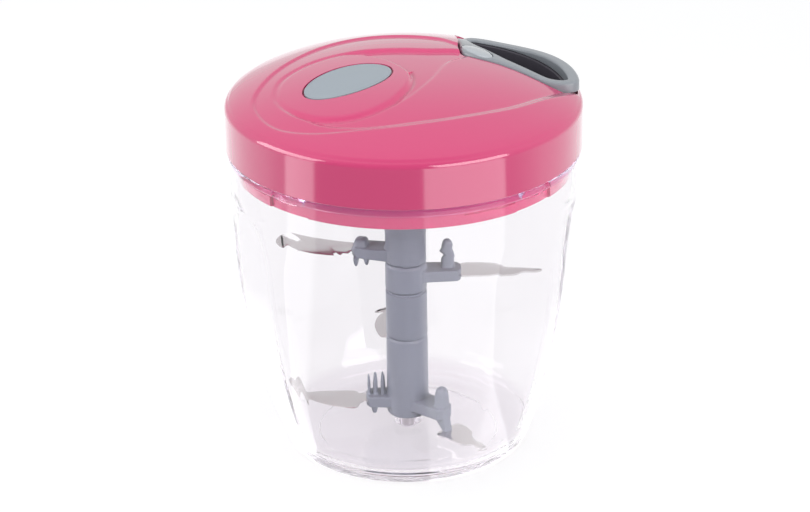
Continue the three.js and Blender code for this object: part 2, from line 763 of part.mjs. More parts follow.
// The way the cord takes round the reel: a rising coil that ends where it leaves for the eyelet
const leaveAngle = -Math.acos(windingRadius / eyeletBack());
const windingPoints = Array.from({ length: windingTurns * windingSteps + 1 }, (_, i) => {
  const turns = windingTurns - i / windingSteps;
  const angle = leaveAngle - turns * 2 * Math.PI;
  const [x, y] = [windingRadius * Math.cos(angle), windingRadius * Math.sin(angle)];
  return [x, y, cordExitHeight - turns * windingPitch];
});

// Least gap between any two turns of the coil, measured on its points
function leastWindingGap() {
  let least = Infinity;
  for (let i = 0; i < windingPoints.length; i++) {
    for (let j = i + windingSteps / 2; j < windingPoints.length; j++) {
      const [a, b] = [windingPoints[i], windingPoints[j]];
      least = Math.min(least, Math.hypot(a[0] - b[0], a[1] - b[1], a[2] - b[2]));
    }
  }
  return least - 2 * cordRadius;
}
console.log(`cord winding: least gap between turns ${leastWindingGap().toFixed(2)} mm`);

// One unbroken tube through the coil's points
function cordWinding() {
  const section = Array.from({ length: windingSides }, (_, i) => polar(cordRadius, (360 * i) / windingSides));
  const levels = windingPoints.map(([x, y, z]) => {
    const reach = Math.hypot(x, y);
    return section.map(([out, up]) => [x + (x / reach) * out, y + (y / reach) * out, z + up]);
  });
  return loft(levels);
}

// The cord's way from the coil, through the eyelet, to the knot in the handle
function leadPoints() {
  const [x, y] = windingPoints[windingPoints.length - 1];
  const eyelet = eyeletBack();
  const at = (share) => [x + (eyelet - x) * share, y * (1 - share), cordExitHeight];
  const start = (2 * gap) / Math.hypot(eyelet - x, y);
  const ends = [eyelet + cordRadius, knotX - knotRadius - gap];
  return [at(start), at(leadBendShare), ...ends.map((end) => [end, 0, cordExitHeight])];
}

// Where the cord enters its eyelet, whose lip lies on the reel's side of the recess wall
function eyeletBack() {
  return handleTip - recessGap - recessWall - gap - eyeletLip;
}

function cordLead() {
  const curve = new THREE.CatmullRomCurve3(leadPoints().map(([x, y, z]) => new THREE.Vector3(x, y, z)));
  const section = new THREE.Shape().absarc(0, 0, cordRadius, 0, 2 * Math.PI);
  const geometry = new THREE.ExtrudeGeometry(section, {
    steps: cornerSteps * 3, curveSegments: cornerSteps, extrudePath: curve, bevelEnabled: false,
  });
  return solid(geometry);
}

function cordKnot() {
  const profile = [[0, -knotRadius]];
  const steps = 2 * cornerSteps;
  for (let i = 1; i < steps; i++) {
    const turn = Math.PI * (i / steps);
    profile.push([knotRadius * Math.sin(turn), -knotRadius * Math.cos(turn)]);
  }
  profile.push([0, knotRadius]);
  return turned(profile, tinySegments).translate([knotX, 0, cordExitHeight]);
}

function cordEyelet() {
  const back = eyeletBack();
  const front = handleTip - recessGap;
  const lipRadius = eyeletRadius + eyeletLip;
  const bore = cordRadius + gap;
  return turned([
    [bore + eyeletFlare, back], [lipRadius, back], [lipRadius, back + eyeletLip],
    [eyeletRadius, back + eyeletLip], [eyeletRadius, front], [bore + gap, front], [bore, front - gap],
    [bore, back + eyeletFlare], [bore + eyeletFlare, back],
  ], tinySegments).rotate([0, 90, 0]).translate([0, 0, cordExitHeight]);
}

// Outline of the flat spiral strip, one side outwards and the other back
function springOutline() {
  const inner = arborRadius + gap + springThickness / 2;
  const outer = springCupRadius - gap - springThickness / 2;
  const steps = springTurns * springSteps;
  const side = (offset) => Array.from({ length: steps + 1 }, (_, i) => {
    const radius = inner + ((outer - inner) * i) / steps + offset;
    const angle = (2 * Math.PI * i) / springSteps;
    return [radius * Math.cos(angle), radius * Math.sin(angle)];
  });
  return [...side(springThickness / 2), ...side(-springThickness / 2).reverse()];
}

const springBottom = spoolBottom + springCupFloor + gap;
const springCoverTop = spoolTop - gap;
const springTop = springCoverTop - springCoverThickness - gap;
const clockSpring = () => prism(springOutline(), springBottom, springTop);
const springCover = () => ring(
  springCupRadius - gap, arborRadius + gap, springCoverTop - springCoverThickness, springCoverTop,
);

function reelAxleSolid() {
  const foot = reelFloor - gap;
  const bore = axleScrewRadius + gap;
  const arborTop = spoolTop + axleBossGap - gap;
  return turned([
    [bore, foot], [axleRadius, foot], [axleRadius, springBottom], [arborRadius, springBottom],
    [arborRadius, arborTop], [axleRadius, arborTop], [axleRadius, axleTop],
    [0, axleTop], [0, foot + axleScrewLength + gap], [bore, foot + axleScrewLength + gap], [bore, foot],
  ]);
}

const washerTop = reelFloor - 2 * gap;
const washerBottom = washerTop - washerThickness;
const axleWasher = () => ring(washerRadius, axleScrewRadius + gap, washerBottom, washerTop, tinySegments);
const axleScrew = () => crossScrew(axleScrewHeadRadius, axleScrewHeadHeight, axleScrewRadius, axleScrewLength)
  .translate([0, 0, washerBottom - gap - axleScrewHeadHeight]);

// All that is under the handle's top, which follows the dome a little lower and is level at its outer edge
function handleTopSolid(offset, bottom) {
  const edge = ring(domeRadius + overrun, 0, bottom, handleRim + offset, largeSegments);
  return domeSolid(offset - handleSink, bottom).add(edge);
}

function handleSolid() {
  const bottom = ledge + gap;
  const top = shoulder + 2 * domeHeight;
  const body = prism(handleOutline, bottom, top).intersect(handleTopSolid(0, bottom - overrun));
  const capSeat = cut(
    prism(capOutline(gap), bottom, top), handleTopSolid(-capThickness - gap, bottom - overrun),
  );
  const room = knotRadius + gap;
  const chamber = placed(ring(room, 0, cordExitHeight - room, handleRim + overrun, tinySegments), knotX, 0);
  const slot = ring(cordRadius + gap, 0, 0, knotX - handleTip + overrun, tinySegments)
    .rotate([0, 90, 0]).translate([handleTip - overrun, 0, cordExitHeight]);
  return cut(body, prism(holeOutline, bottom - overrun, top), capSeat, chamber, slot);
}

// The little cover over the knot is a rounded plate let into the handle's top
function capOutline(extra) {
  const middle = handleTip + capInset + capLength / 2 + gap;
  return ellipseOutline(middle, 0, capLength / 2 + extra, capHalfWidth + extra, tinySegments);
}

function handleCapSolid() {
  const column = prism(capOutline(0), ledge + gap, shoulder + 2 * domeHeight);
  return cut(column.intersect(handleTopSolid(0, ledge)), handleTopSolid(-capThickness, ledge - overrun));
}

// Outside radius of the blade shaft at a height
function shaftRadius(z) {
  return shaftFootRadius + ((shaftTopRadius - shaftFootRadius) * (z - shaftFoot)) / (headTop - shaftFoot);
}

// One sleeve of the shaft, with a shallow groove at its top edge
function sleeve(bottom, top) {
  return turned([
    [0, bottom], [shaftRadius(bottom), bottom], [shaftRadius(top), top - grooveHeight],
    [shaftRadius(top) - grooveDepth, top - grooveHeight / 2], [shaftRadius(top) - grooveDepth, top], [0, top],
  ]);
}

// A solid with flat sides between outlines that hold the same number of points, lowest first
function loft(levels) {
  const count = levels[0].length;
  const index = [];
  for (let i = 0; i + 1 < levels.length; i++) {
    for (let j = 0; j < count; j++) {
      const [a, b] = [i * count + j, i * count + ((j + 1) % count)];
      index.push(a, b, b + count, a, b + count, a + count);
    }
  }
  const last = (levels.length - 1) * count;
  for (let j = 1; j + 1 < count; j++) index.push(0, j + 1, j, last, last + j, last + j + 1);
  const geometry = new THREE.BufferGeometry();
  geometry.setAttribute('position', new THREE.Float32BufferAttribute(levels.flat(2), 3));
  geometry.setIndex(index);
  return solid(geometry);
}

function rectangle(x, y, halfLong, halfWide, z) {
  return [
    [x - halfLong, y - halfWide, z], [x + halfLong, y - halfWide, z],
    [x + halfLong, y + halfWide, z], [x - halfLong, y + halfWide, z],
  ];
}

// A peg on top of an arm, or a fin below it: straight for most of its height and then drawn in
function pegSolid(shares, height) {
  const [along, across, long, wide, rise] = shares.map((share) => share * armReach);
  const tip = shares.at(-1);
  const side = Math.sign(rise);
  const root = height + side * (armThickness / 2 - gap);
  const level = (share, z) => rectangle(along, across, (long * share) / 2, (wide * share) / 2, z);
  const levels = [
    level(1, root), level(1, root + side * gap), level((1 + tip) / 2, root + rise * postBodyShare),
    level(tip, root + rise),
  ];
  return loft(side > 0 ? levels : levels.reverse());
}

// The sizes that a blade's shares give
function bladeSizes(name) {
  const [height, reach, width, arm] = bladeShares[name];
  return {
    height: headTop * height,
    reach: bowlRimRadius * reach,
    width: bladeWidth * width,
    arm: armReach * arm,
    armHeight: headTop * (name === leggedBlade ? legArmShare : height),
  };
}

// Where the leg of the lowest blade meets it, and where it leaves its arm
function legPlaces(sizes) {
  return [tangRoot + (sizes.reach - tangRoot) * legFootShare, armReach * legTopShare];
}

// The arm that holds a blade, with its pegs, made along +X and then turned
function bladeArm(blade) {
  const sizes = bladeSizes(blade.name);
  const start = shaftTopRadius / 2;
  const half = armRootHalfWidth;
  const end = half * armEndShare;
  const nose = sizes.arm - half * armNoseShare;
  const plate = [
    [start, -half], [nose, -end], [sizes.arm, -end / 2], [sizes.arm, end / 2], [nose, end], [start, half],
  ];
  const low = sizes.armHeight - armThickness / 2;
  const upright = pegShares[blade.name].map((shares) => pegSolid(shares, sizes.armHeight));
  let arm = join(prism(plate, low, low + armThickness), ...upright);
  if (blade.name === leggedBlade) {
    const [foot, top] = legPlaces(sizes);
    arm = arm.add(loft([
      rectangle(foot, 0, legReach, legHalfWidth, sizes.height + bladeThickness / 2 + gap),
      rectangle(top, 0, legTopLong / 2, legTopWide / 2, low + gap),
    ]));
  }
  return arm.rotate([0, 0, blade.angle]);
}

// Outline of a blade and its tang
function bladeOutline(blade, sizes) {
  const long = sizes.reach - tangRoot;
  const shares = outlineShares[blade.shape];
  const places = shares.map(([along, across]) => [tangRoot + long * along, sizes.width * across]);
  if (blade.name === leggedBlade) return places;
  const shoulderX = places[0][0];
  const half = tangHalfWidth;
  return [[tangRoot, -half], [tangRoot, half], [shoulderX, half], ...places, [shoulderX, -half]];
}

// The strip that rises from the lowest blade inside its leg
function bladeStrip(sizes, extra = 0) {
  const reach = bladeThickness / 2 + extra;
  const [foot, top] = legPlaces(sizes);
  return loft([
    rectangle(foot, 0, reach, stripHalfWidth + extra, sizes.height - extra),
    rectangle(top, 0, reach, stripHalfWidth + extra, sizes.armHeight + extra),
  ]);
}

function bladeTip(sizes) {
  const long = sizes.reach - tangRoot;
  const rises = [0, 0, tipRise, tipRise];
  const level = (offset) => raisedTipShares.map(([along, across], i) => [
    tangRoot + long * along, sizes.width * across, sizes.height + offset + rises[i],
  ]);
  return loft([level(-bladeThickness / 2), level(bladeThickness / 2)]);
}

function bladeSolid(blade) {
  const sizes = bladeSizes(blade.name);
  const low = sizes.height - bladeThickness / 2;
  let body = prism(bladeOutline(blade, sizes), low, low + bladeThickness);
  if (blade.name === leggedBlade) body = body.add(bladeStrip(sizes));
  if (blade.shape === 'raised') body = body.add(bladeTip(sizes));
  return body.rotate([0, 0, blade.angle]);
}

// The hollow that a blade's tang, or the lowest blade's strip, fills in its arm
function bladeSlot(blade) {
  const sizes = bladeSizes(blade.name);
  if (blade.name === leggedBlade) return bladeStrip(sizes, gap).rotate([0, 0, blade.angle]);
  const half = tangHalfWidth + gap;
  const [back, front] = [tangRoot - gap, sizes.arm + gap];
  const low = sizes.height - bladeThickness / 2 - gap;
  const outline = [[back, -half], [front, -half], [front, half], [back, half]];
  return prism(outline, low, low + bladeThickness + 2 * gap).rotate([0, 0, blade.angle]);
}

function hubSolid(hub, bottom, top) {
  let body = sleeve(bottom, top);
  for (const blade of blades.filter((b) => b.hub === hub)) {
    body = cut(body.add(bladeArm(blade)), bladeSlot(blade));
  }
  const coreTop = Math.min(top, headTop - overrun) + gap;
  return cut(body, ring(coreRadius + gap, 0, bottom - overrun, coreTop, coreFlats));
}

function shaftHeadSolid() {
  const neck = ring(neckRadius, 0, headTop - gap, neckTop);
  const teeth = dogs(neckRadius / 2, headDogRadius, headTop + gap, neckTop, 0);
  return join(hubSolid('head', upperHubTop + gap, headTop), neck, ...teeth);
}

function shaftCoreSolid() {
  const top = headTop - overrun;
  return cut(
    ring(coreRadius, 0, shaftFoot + gap, top, coreFlats),
    ring(pinRadius + gap, 0, 0, pinTop + gap, tinySegments),
  );
}

// Finishes of the pieces
const finish = (color, roughness, metalness, extra = {}) => new THREE.MeshStandardMaterial({
  color, roughness, metalness, ...extra,
});
const finishes = {
  clear: finish(0xe9e6ee, 0.05, 0, { transparent: true, opacity: 0.25 }),
  pink: finish(0xd64d78, 0.3, 0),
  grey: finish(0x9da2ab, 0.4, 0),
  shaftGrey: finish(0x8f939f, 0.45, 0),
  darkGrey: finish(0x3c3a42, 0.5, 0),
  steel: finish(0xc8c6c8, 0.25, 1),
  white: finish(0xeeeeea, 0.5, 0),
  rubber: finish(0xf2f0ee, 0.7, 0),
  cord: finish(0xf4f2ee, 0.9, 0),
};

const group = new THREE.Group();

function add(name, body, material) {
  const mesh = body.getMesh();
  const geometry = new THREE.BufferGeometry();
  geometry.setAttribute('position', new THREE.Float32BufferAttribute(mesh.vertProperties, 3));
  geometry.setIndex(new THREE.Uint32BufferAttribute(mesh.triVerts, 1));
  geometry.computeVertexNormals();
  const node = new THREE.Mesh(geometry, finishes[material]);
  node.name = name;
  group.add(node);
  return node;
}

add('bowl', bowlSolid(), 'clear');
add('bowl_pivot_pin', bowlPin(), 'steel');
add('lid_cover', lidCoverSolid(), 'pink');
add('badge_plate', badgeSolid(), 'grey');
add('lid_base', lidBaseSolid(), 'pink');
add('lid_seal', lidSeal(), 'rubber');
screwAngles.forEach((_, i) => {
  const screw = crossScrew(screwHeadRadius, screwHeadHeight, screwRadius, screwLength);
  const [x, y] = screwPlace(i);
  add(`lid_screw_${i + 1}`, screw, 'steel').position.set(x, y, baseBottom + screwHeadSink);
});
add('drive_bush', driveBushSolid(), 'white');
add('drive_socket', driveSocketSolid(), 'shaftGrey');
add('pawl_carrier', pawlCarrierSolid(), 'white');
add('pawl_1', pawlSolid(0), 'steel');
add('pawl_2', pawlSolid(180), 'steel');
add('cord_reel', reelSolid(), 'white');
add('cord_winding', cordWinding(), 'cord');
add('cord_lead', cordLead(), 'cord');
add('cord_knot', cordKnot(), 'cord');
add('cord_eyelet', cordEyelet(), 'grey');
add('clock_spring', clockSpring(), 'steel');
add('spring_cover', springCover(), 'steel');
add('reel_axle', reelAxleSolid(), 'steel');
add('axle_washer', axleWasher(), 'steel');
add('axle_screw', axleScrew(), 'steel');
add('pocket_tray', pocketTraySolid(), 'darkGrey');
add('pull_handle', handleSolid(), 'grey');
add('handle_cap', handleCapSolid(), 'grey');
add('shaft_core', shaftCoreSolid(), 'steel');
add('lower_hub', hubSolid('lower', shaftFoot, lowerHubTop), 'shaftGrey');
add('shaft_spacer', hubSolid('spacer', lowerHubTop + gap, spacerTop), 'shaftGrey');
add('upper_hub', hubSolid('upper', spacerTop + gap, upperHubTop), 'shaftGrey');
add('shaft_head', shaftHeadSolid(), 'shaftGrey');
for (const blade of blades) add(blade.name, bladeSolid(blade), 'steel');

export default group;
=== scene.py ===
import math

import bpy
import numpy as np
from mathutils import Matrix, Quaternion, Vector


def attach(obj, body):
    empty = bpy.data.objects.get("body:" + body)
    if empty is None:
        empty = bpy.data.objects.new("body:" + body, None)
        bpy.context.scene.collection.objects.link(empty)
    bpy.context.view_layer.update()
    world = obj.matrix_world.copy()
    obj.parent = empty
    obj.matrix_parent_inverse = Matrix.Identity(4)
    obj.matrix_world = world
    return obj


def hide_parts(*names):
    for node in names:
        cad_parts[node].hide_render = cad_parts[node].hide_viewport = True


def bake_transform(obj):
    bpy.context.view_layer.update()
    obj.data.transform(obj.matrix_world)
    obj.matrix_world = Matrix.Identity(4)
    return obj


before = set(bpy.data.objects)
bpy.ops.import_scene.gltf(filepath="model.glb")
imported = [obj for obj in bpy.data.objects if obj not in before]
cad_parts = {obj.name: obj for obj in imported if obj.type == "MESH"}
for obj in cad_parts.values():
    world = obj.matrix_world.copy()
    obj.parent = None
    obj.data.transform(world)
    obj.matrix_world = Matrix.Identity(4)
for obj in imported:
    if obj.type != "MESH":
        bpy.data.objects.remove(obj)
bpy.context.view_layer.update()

# The view
# The chopper is seen from a little above with a long lens, turned so that the handle points to the right and
# back. The lens stands nearly level with the photograph's, with three quarters of a degree of roll.
mm = 0.001
sight, fall, roll = (0.5446, 0.8387), math.radians(24.28), math.radians(-0.75)
look = Vector((sight[0] * math.cos(fall), sight[1] * math.cos(fall), -math.sin(fall)))
bpy.ops.object.select_all(action="DESELECT")
bpy.ops.object.camera_add(location=(-0.5032, -0.7749, 0.491))
camera = bpy.context.object
camera.name = "photo_camera"
camera.rotation_mode = "QUATERNION"
camera.rotation_quaternion = look.to_track_quat("-Z", "Y") @ Quaternion((0, 0, 1), roll)
camera.data.lens = 118.9
camera.data.sensor_width = 36
camera.data.shift_x = -0.0007
camera.data.clip_end = 20
scene = bpy.context.scene
scene.camera = camera
scene.view_settings.view_transform = "Standard"


# The worktop and the light
# A white sweep under a wide soft box overhead and a tall one on each side. The worktop shows white to the
# camera and through the clear bowl, and keeps a faint shadow. In gloss it glows with painted light: dim away
# from the bowl on the camera's side, brighter round and behind the bowl, with painted pools of light below
# the side boxes that show as painted reflections in the lid.
def node(material, kind, values=None):
    """A new node, with the inputs that are named set to their values."""
    new = material.node_tree.nodes.new("ShaderNode" + kind)
    for name, value in (values or {}).items():
        new.inputs[name].default_value = value
    return new


def link(material, source, target):
    material.node_tree.links.new(source, target)


def worked(material, operation, first, second=0):
    """A Math node on two values, each a number or another node's output."""
    step = node(material, "Math")
    step.operation = operation
    for socket, value in zip(step.inputs, (first, second)):
        if isinstance(value, bpy.types.NodeSocket):
            link(material, value, socket)
        else:
            socket.default_value = value
    return step.outputs[0]


def ramp(material, value, start, end, low=0, high=1, easing="LINEAR"):
    """Runs from low to high while a value runs from start to end."""
    step = node(material, "MapRange", {"From Min": start, "From Max": end, "To Min": low, "To Max": high})
    step.interpolation_type = easing
    link(material, value, step.inputs["Value"])
    return step.outputs["Result"]


def facing(material, direction, way):
    """How far a direction points along a way."""
    toward = node(material, "VectorMath")
    toward.operation = "DOT_PRODUCT"
    toward.inputs[1].default_value = way
    link(material, direction, toward.inputs[0])
    return toward.outputs["Value"]


def seen_directly(material):
    """Two shares: what the camera sees, straight or by way of clear plastic, and what gloss sees."""
    path = node(material, "LightPath")
    first_look = worked(material, "LESS_THAN", path.outputs["Diffuse Depth"], 0.5)
    through = worked(material, "GREATER_THAN", path.outputs["Transmission Depth"], 0.5)
    straight = worked(material, "MAXIMUM", path.outputs["Is Camera Ray"], path.outputs["Is Transmission Ray"])
    straight = worked(material, "MAXIMUM", straight, through)
    gloss = worked(material, "SUBTRACT", path.outputs["Is Glossy Ray"], straight)
    gloss = worked(material, "MAXIMUM", gloss, 0)
    return worked(material, "MULTIPLY", straight, first_look), worked(material, "MULTIPLY", gloss, first_look)


bpy.ops.mesh.primitive_grid_add(x_subdivisions=8, y_subdivisions=8, size=8, location=(0, 0, -0.0002))
worktop = bpy.context.object
worktop.name = "worktop"
paint = bpy.data.materials.new("white_sweep")
paint.use_nodes = True
paint.node_tree.nodes.clear()
spot = node(paint, "TexCoord").outputs["Object"]
aim, span = node(paint, "VectorMath"), node(paint, "VectorMath")
aim.operation, span.operation = "NORMALIZE", "LENGTH"
link(paint, spot, aim.inputs[0])
link(paint, spot, span.inputs[0])
white_level, dim_level, close_level, reach_in, reach_out = 0.76, 0.15, 0.75, 0.12, 0.17
# Painted light: seen only in gloss, the worktop glows close round the bowl and behind it, and in two painted
# pools of light below the side boxes.
painted_gloss_glow = ramp(paint, span.outputs["Value"], reach_out, reach_in, 0, close_level)
for way, low, high, glare in (((0.545, 0.839, 0), -0.6, 0, 0.7), ((0.052, -0.999, 0), 0.9, 0.912, 1.9),
                              ((-0.991, 0.13, 0), 0.98, 0.987, 1.9)):
    painted_light_pool = ramp(paint, facing(paint, aim.outputs[0], way), low, high, 0, glare)
    painted_gloss_glow = worked(paint, "ADD", painted_light_pool, painted_gloss_glow)
straight, gloss = seen_directly(paint)
white_share = worked(paint, "MULTIPLY", straight, white_level)
gloss_share = worked(paint, "MULTIPLY", gloss, worked(paint, "ADD", painted_gloss_glow, dim_level))
matt = node(paint, "BsdfDiffuse", {"Color": (0.3, 0.3, 0.3, 1)})
glow = node(paint, "Emission")
both = node(paint, "AddShader")
out = node(paint, "OutputMaterial")
link(paint, worked(paint, "ADD", white_share, gloss_share), glow.inputs["Strength"])
link(paint, matt.outputs[0], both.inputs[0])
link(paint, glow.outputs[0], both.inputs[1])
link(paint, both.outputs[0], out.inputs["Surface"])
worktop.data.materials.append(paint)

world = bpy.data.worlds.new("studio")
scene.world = world
world.use_nodes = True
world.node_tree.nodes.clear()
ambient = node(world, "Background", {"Color": (0.93, 0.95, 1, 1), "Strength": 0.48})
white = node(world, "Background", {"Strength": 1})
# The room in front of the worktop is darker in gloss than the sweep behind it
front = facing(world, node(world, "TexCoord").outputs["Generated"], (*sight, 0))
room = ramp(world, front, -0.75, 0.1, 0.32, 1, "SMOOTHSTEP")
straight, gloss = seen_directly(world)
share = node(world, "Mix")
share.data_type = "FLOAT"
share.inputs["A"].default_value = 1
mix = node(world, "MixShader")
out = node(world, "OutputWorld")
link(world, gloss, share.inputs["Factor"])
link(world, room, share.inputs["B"])
link(world, share.outputs["Result"], white.inputs["Strength"])
link(world, worked(world, "ADD", straight, gloss), mix.inputs["Fac"])
link(world, ambient.outputs[0], mix.inputs[1])
link(world, white.outputs[0], mix.inputs[2])
link(world, mix.outputs[0], out.inputs["Surface"])


def soft_box(name, place, aim, size, watts):
    bpy.ops.object.light_add(type="AREA", location=place)
    box = bpy.context.object
    box.name = name
    box.rotation_euler = (Vector(aim) - Vector(place)).to_track_quat("-Z", "Y").to_euler()
    box.data.shape = "RECTANGLE"
    box.data.size, box.data.size_y = size
    box.data.energy = watts
    return box


soft_box("overhead_box", (0.1, 0.25, 1.1), (0, 0, 0.1), (1.1, 0.9), 2.2).visible_glossy = False
soft_box("left_box", (-0.93, 0.36, 0.5), (0, 0, 0.12), (0.9, 0.6), 6)
soft_box("right_box", (0.16, -0.99, 0.5), (0, 0, 0.12), (0.9, 0.6), 7)


# The bowl
# A clear moulded beaker with ten shallow flutes in its wall, a flat foot ring, a bead round its rim, and four
# small lugs inside the rim that lock the lid. It is one clear moulding, a little violet, with a boss for the
# centre pin.
def close_up():
    """Ends the edit of a closed body, with its faces turned outwards."""
    bpy.ops.mesh.select_all(action="SELECT")
    bpy.ops.mesh.normals_make_consistent(inside=False)
    bpy.ops.object.mode_set(mode="OBJECT")


def spun(name, section, steps):
    """Half of a section, drawn point by point and spun about the upright axis."""
    bpy.ops.object.select_all(action="DESELECT")
    bpy.ops.mesh.primitive_plane_add(size=mm, location=(section[0][0] * mm, 0, section[0][1] * mm))
    piece = bpy.context.object
    piece.name = name
    bpy.ops.object.transform_apply(location=True, rotation=True, scale=True)
    bpy.ops.object.mode_set(mode="EDIT")
    bpy.ops.mesh.merge(type="CENTER")
    for (r0, z0), (r1, z1) in zip(section, section[1:]):
        step = {"value": ((r1 - r0) * mm, 0, (z1 - z0) * mm)}
        bpy.ops.mesh.extrude_region_move(TRANSFORM_OT_translate=step)
    bpy.ops.mesh.select_all(action="SELECT")
    bpy.ops.mesh.spin(steps=steps, angle=2 * math.pi, center=(0, 0, 0), axis=(0, 0, 1))
    bpy.ops.mesh.select_all(action="SELECT")
    bpy.ops.mesh.remove_doubles(threshold=0.004 * mm)
    close_up()
    return piece


def places_of(piece):
    co = np.zeros(len(piece.data.vertices) * 3)
    piece.data.vertices.foreach_get("co", co)
    return co.reshape(-1, 3)


def put(piece, places):
    piece.data.vertices.foreach_set("co", places.ravel())
    piece.data.update()


def smooth(piece, degrees=35):
    bpy.ops.object.select_all(action="DESELECT")
    piece.select_set(True)
    bpy.context.view_layer.objects.active = piece
    bpy.ops.object.shade_smooth_by_angle(angle=math.radians(degrees))


def joined(piece, others, how):
    """Joins other bodies to a piece, or cuts them out of it."""
    for other in others:
        bpy.context.view_layer.objects.active = piece
        tool = piece.modifiers.new("joint", "BOOLEAN")
        tool.operation = how
        tool.solver = "MANIFOLD"
        tool.object = other
        bpy.ops.object.modifier_apply(modifier=tool.name)
        bpy.data.objects.remove(other)
    return piece


bowl_height, rim, belly, wall = 121, 65.2, 20.4, 2.6
foot, corner = 39.8, 5.1


def bowl_out(z):
    return rim - belly * (1 - z / bowl_height) ** 2.8


def step_up(share):
    """An eased step from 0 to 1."""
    t = np.clip(share, 0, 1)
    return t * t * (3 - 2 * t)


def arc(cx, cz, radius, start, end, steps):
    """Points on an arc of a section, angles in degrees."""
    turns = np.radians(np.linspace(start, end, steps + 1))
    return [(cx + radius * math.cos(t), cz + radius * math.sin(t)) for t in turns]


corner_reach = bowl_out(corner) - foot
foot_curve = [(foot + corner_reach * math.sin(t), corner * (1 - math.cos(t)))
              for t in np.linspace(0.12, 1.5, 9)]
outer_wall = [(bowl_out(z), z) for z in np.linspace(corner, 117.6, 64)]
bead = [(65.2, 118.2), (65.55, 118.6), (65.7, 119), (65.7, 119.9), (65.55, 120.5), (65.1, 120.9), (64.6, 121)]
inner_wall = [(bowl_out(z) - wall, z) for z in np.linspace(120.4, 12.6, 60)]
fillet_x = bowl_out(12.6) - wall - 8
inside = arc(fillet_x, 12.6, 8, -4, -88, 10)
section = [(0, 0.8), (33.2, 0.8), (33.8, 0.6), (34.1, 0.1), (34.6, 0), (38.9, 0), *foot_curve, *outer_wall,
           *bead, (63.1, 121), *inner_wall, *inside, (24, 4.6), (6.2, 4.6), (5.4, 5), (5.2, 5.6), (5.1, 7.6),
           (4.8, 8), (2.9, 8), (2.7, 7.8), (2.7, 2.1), (0, 2.1)]
bowl = spun("bowl_glass", section, 240)

# The flutes are pressed into the wall, and the grid of the mesh closes in with their arched tops
co = places_of(bowl) / mm
reach = np.hypot(co[:, 0], co[:, 1])
turn = np.degrees(np.arctan2(co[:, 1], co[:, 0]))
up = co[:, 2]
curve = bowl_out(np.clip(up, 0, bowl_height))
outside = (np.abs(reach - curve) < 0.02) & (up > 5)
outside |= (np.abs(reach - curve + wall) < 0.02) & (up > 12.5) & (up < 112)
flute_step, flute_half, flute_gap, flute_depth, flute_turn = 36, 13.5, 4.5, 1.3, 28
arch_foot, arch_rise, arch_least, arch_top = 82, 23, 1.4, 105
middle = np.round(turn / flute_step) * flute_step
off = turn - middle
rise = np.clip((up - arch_foot) / arch_rise, 0, 1)
half = np.maximum(flute_half * np.sqrt(1 - np.minimum(rise, 0.995) ** 2), arch_least)
beyond = half + (np.abs(off) - flute_half) * (flute_step / 2 - half) / flute_gap
pulled = np.where(np.abs(off) <= flute_half, off * half / flute_half, np.sign(off) * beyond)
pulled = np.where(outside & (up < arch_top), pulled, off)
fade = step_up((up - 7) / 14)
depth = flute_depth * fade * np.clip(1 - (pulled / flute_half) ** 2 - rise ** 2, 0, 1)
reach = np.where(outside, reach - depth, reach)
turn = np.radians(middle + pulled + flute_turn)
put(bowl, np.stack([reach * np.cos(turn), reach * np.sin(turn), up], 1) * mm)

lugs = []
lug_reach, lug_height, lug_half, lug_size = 62.5, 118, 7.5, (2.6, 15, 3.2)
for number in range(4):
    bpy.ops.mesh.primitive_cube_add(size=mm)
    lug = bpy.context.object
    bpy.ops.object.mode_set(mode="EDIT")
    bpy.ops.transform.resize(value=lug_size)
    bpy.ops.transform.translate(value=(lug_reach * mm, 0, lug_height * mm))
    bpy.ops.mesh.subdivide(number_cuts=6)
    bpy.ops.object.mode_set(mode="OBJECT")
    out, along, up = places_of(lug).T
    angle = math.radians(15 + 90 * number) + along / (lug_reach * mm)
    lens = np.clip(np.abs(along) / (lug_half * mm), 0, 1) ** 3
    up = lug_height * mm + (up - lug_height * mm) * (1 - 0.75 * lens)
    put(lug, np.stack([out * np.cos(angle), out * np.sin(angle), up], 1))
    lugs.append(lug)
bowl = joined(bowl, lugs, "UNION")
smooth(bowl, 28)


def between(material, share, first, second):
    """A colour mixed from two, each a colour or another node's output."""
    blend = node(material, "Mix")
    blend.data_type = "RGBA"
    link(material, share, blend.inputs["Factor"])
    for name, colour in (("A", first), ("B", second)):
        if isinstance(colour, bpy.types.NodeSocket):
            link(material, colour, blend.inputs[name])
        else:
            blend.inputs[name].default_value = colour
    return blend.outputs["Result"]


glass = bpy.data.materials.new("clear_moulding")
glass.use_nodes = True
glass.node_tree.nodes.clear()
place = node(glass, "TexCoord").outputs["Object"]
height = node(glass, "SeparateXYZ")
link(glass, place, height.inputs[0])
wall_tint, floor_painted_shade_tint, rim_painted_highlight_tint = (0.955, 0.944, 0.957, 1), (0.88, 0.85, 0.885, 1), (0.8, 0.62, 0.86, 1)
# The floor of the bowl is tinted darker and pinker: painted shade, with the pink cast of the lid's shadow and
# reflection.
tint = between(glass, ramp(glass, height.outputs["Z"], 10 * mm, 6 * mm), wall_tint, floor_painted_shade_tint)
# The strong violet of the rim bead is a painted highlight line along the bead.
tint = between(glass, ramp(glass, height.outputs["Z"], 117.6 * mm, 118.4 * mm), tint, rim_painted_highlight_tint)
ripple = node(glass, "TexNoise", {"Scale": 55, "Detail": 2})
bump = node(glass, "Bump", {"Strength": 0.05, "Distance": 0.0006})
body = node(glass, "BsdfPrincipled", {"Transmission Weight": 1, "IOR": 1.17, "Roughness": 0.01,
                                      "Coat Weight": 0.55, "Coat Roughness": 0.01})
clear = node(glass, "BsdfTransparent", {"Color": (0.93, 0.91, 0.94, 1)})
path = node(glass, "LightPath")
mix = node(glass, "MixShader")
out = node(glass, "OutputMaterial")
link(glass, tint, body.inputs["Base Color"])
link(glass, place, ripple.inputs["Vector"])
link(glass, ripple.outputs["Fac"], bump.inputs["Height"])
link(glass, bump.outputs[0], body.inputs["Normal"])
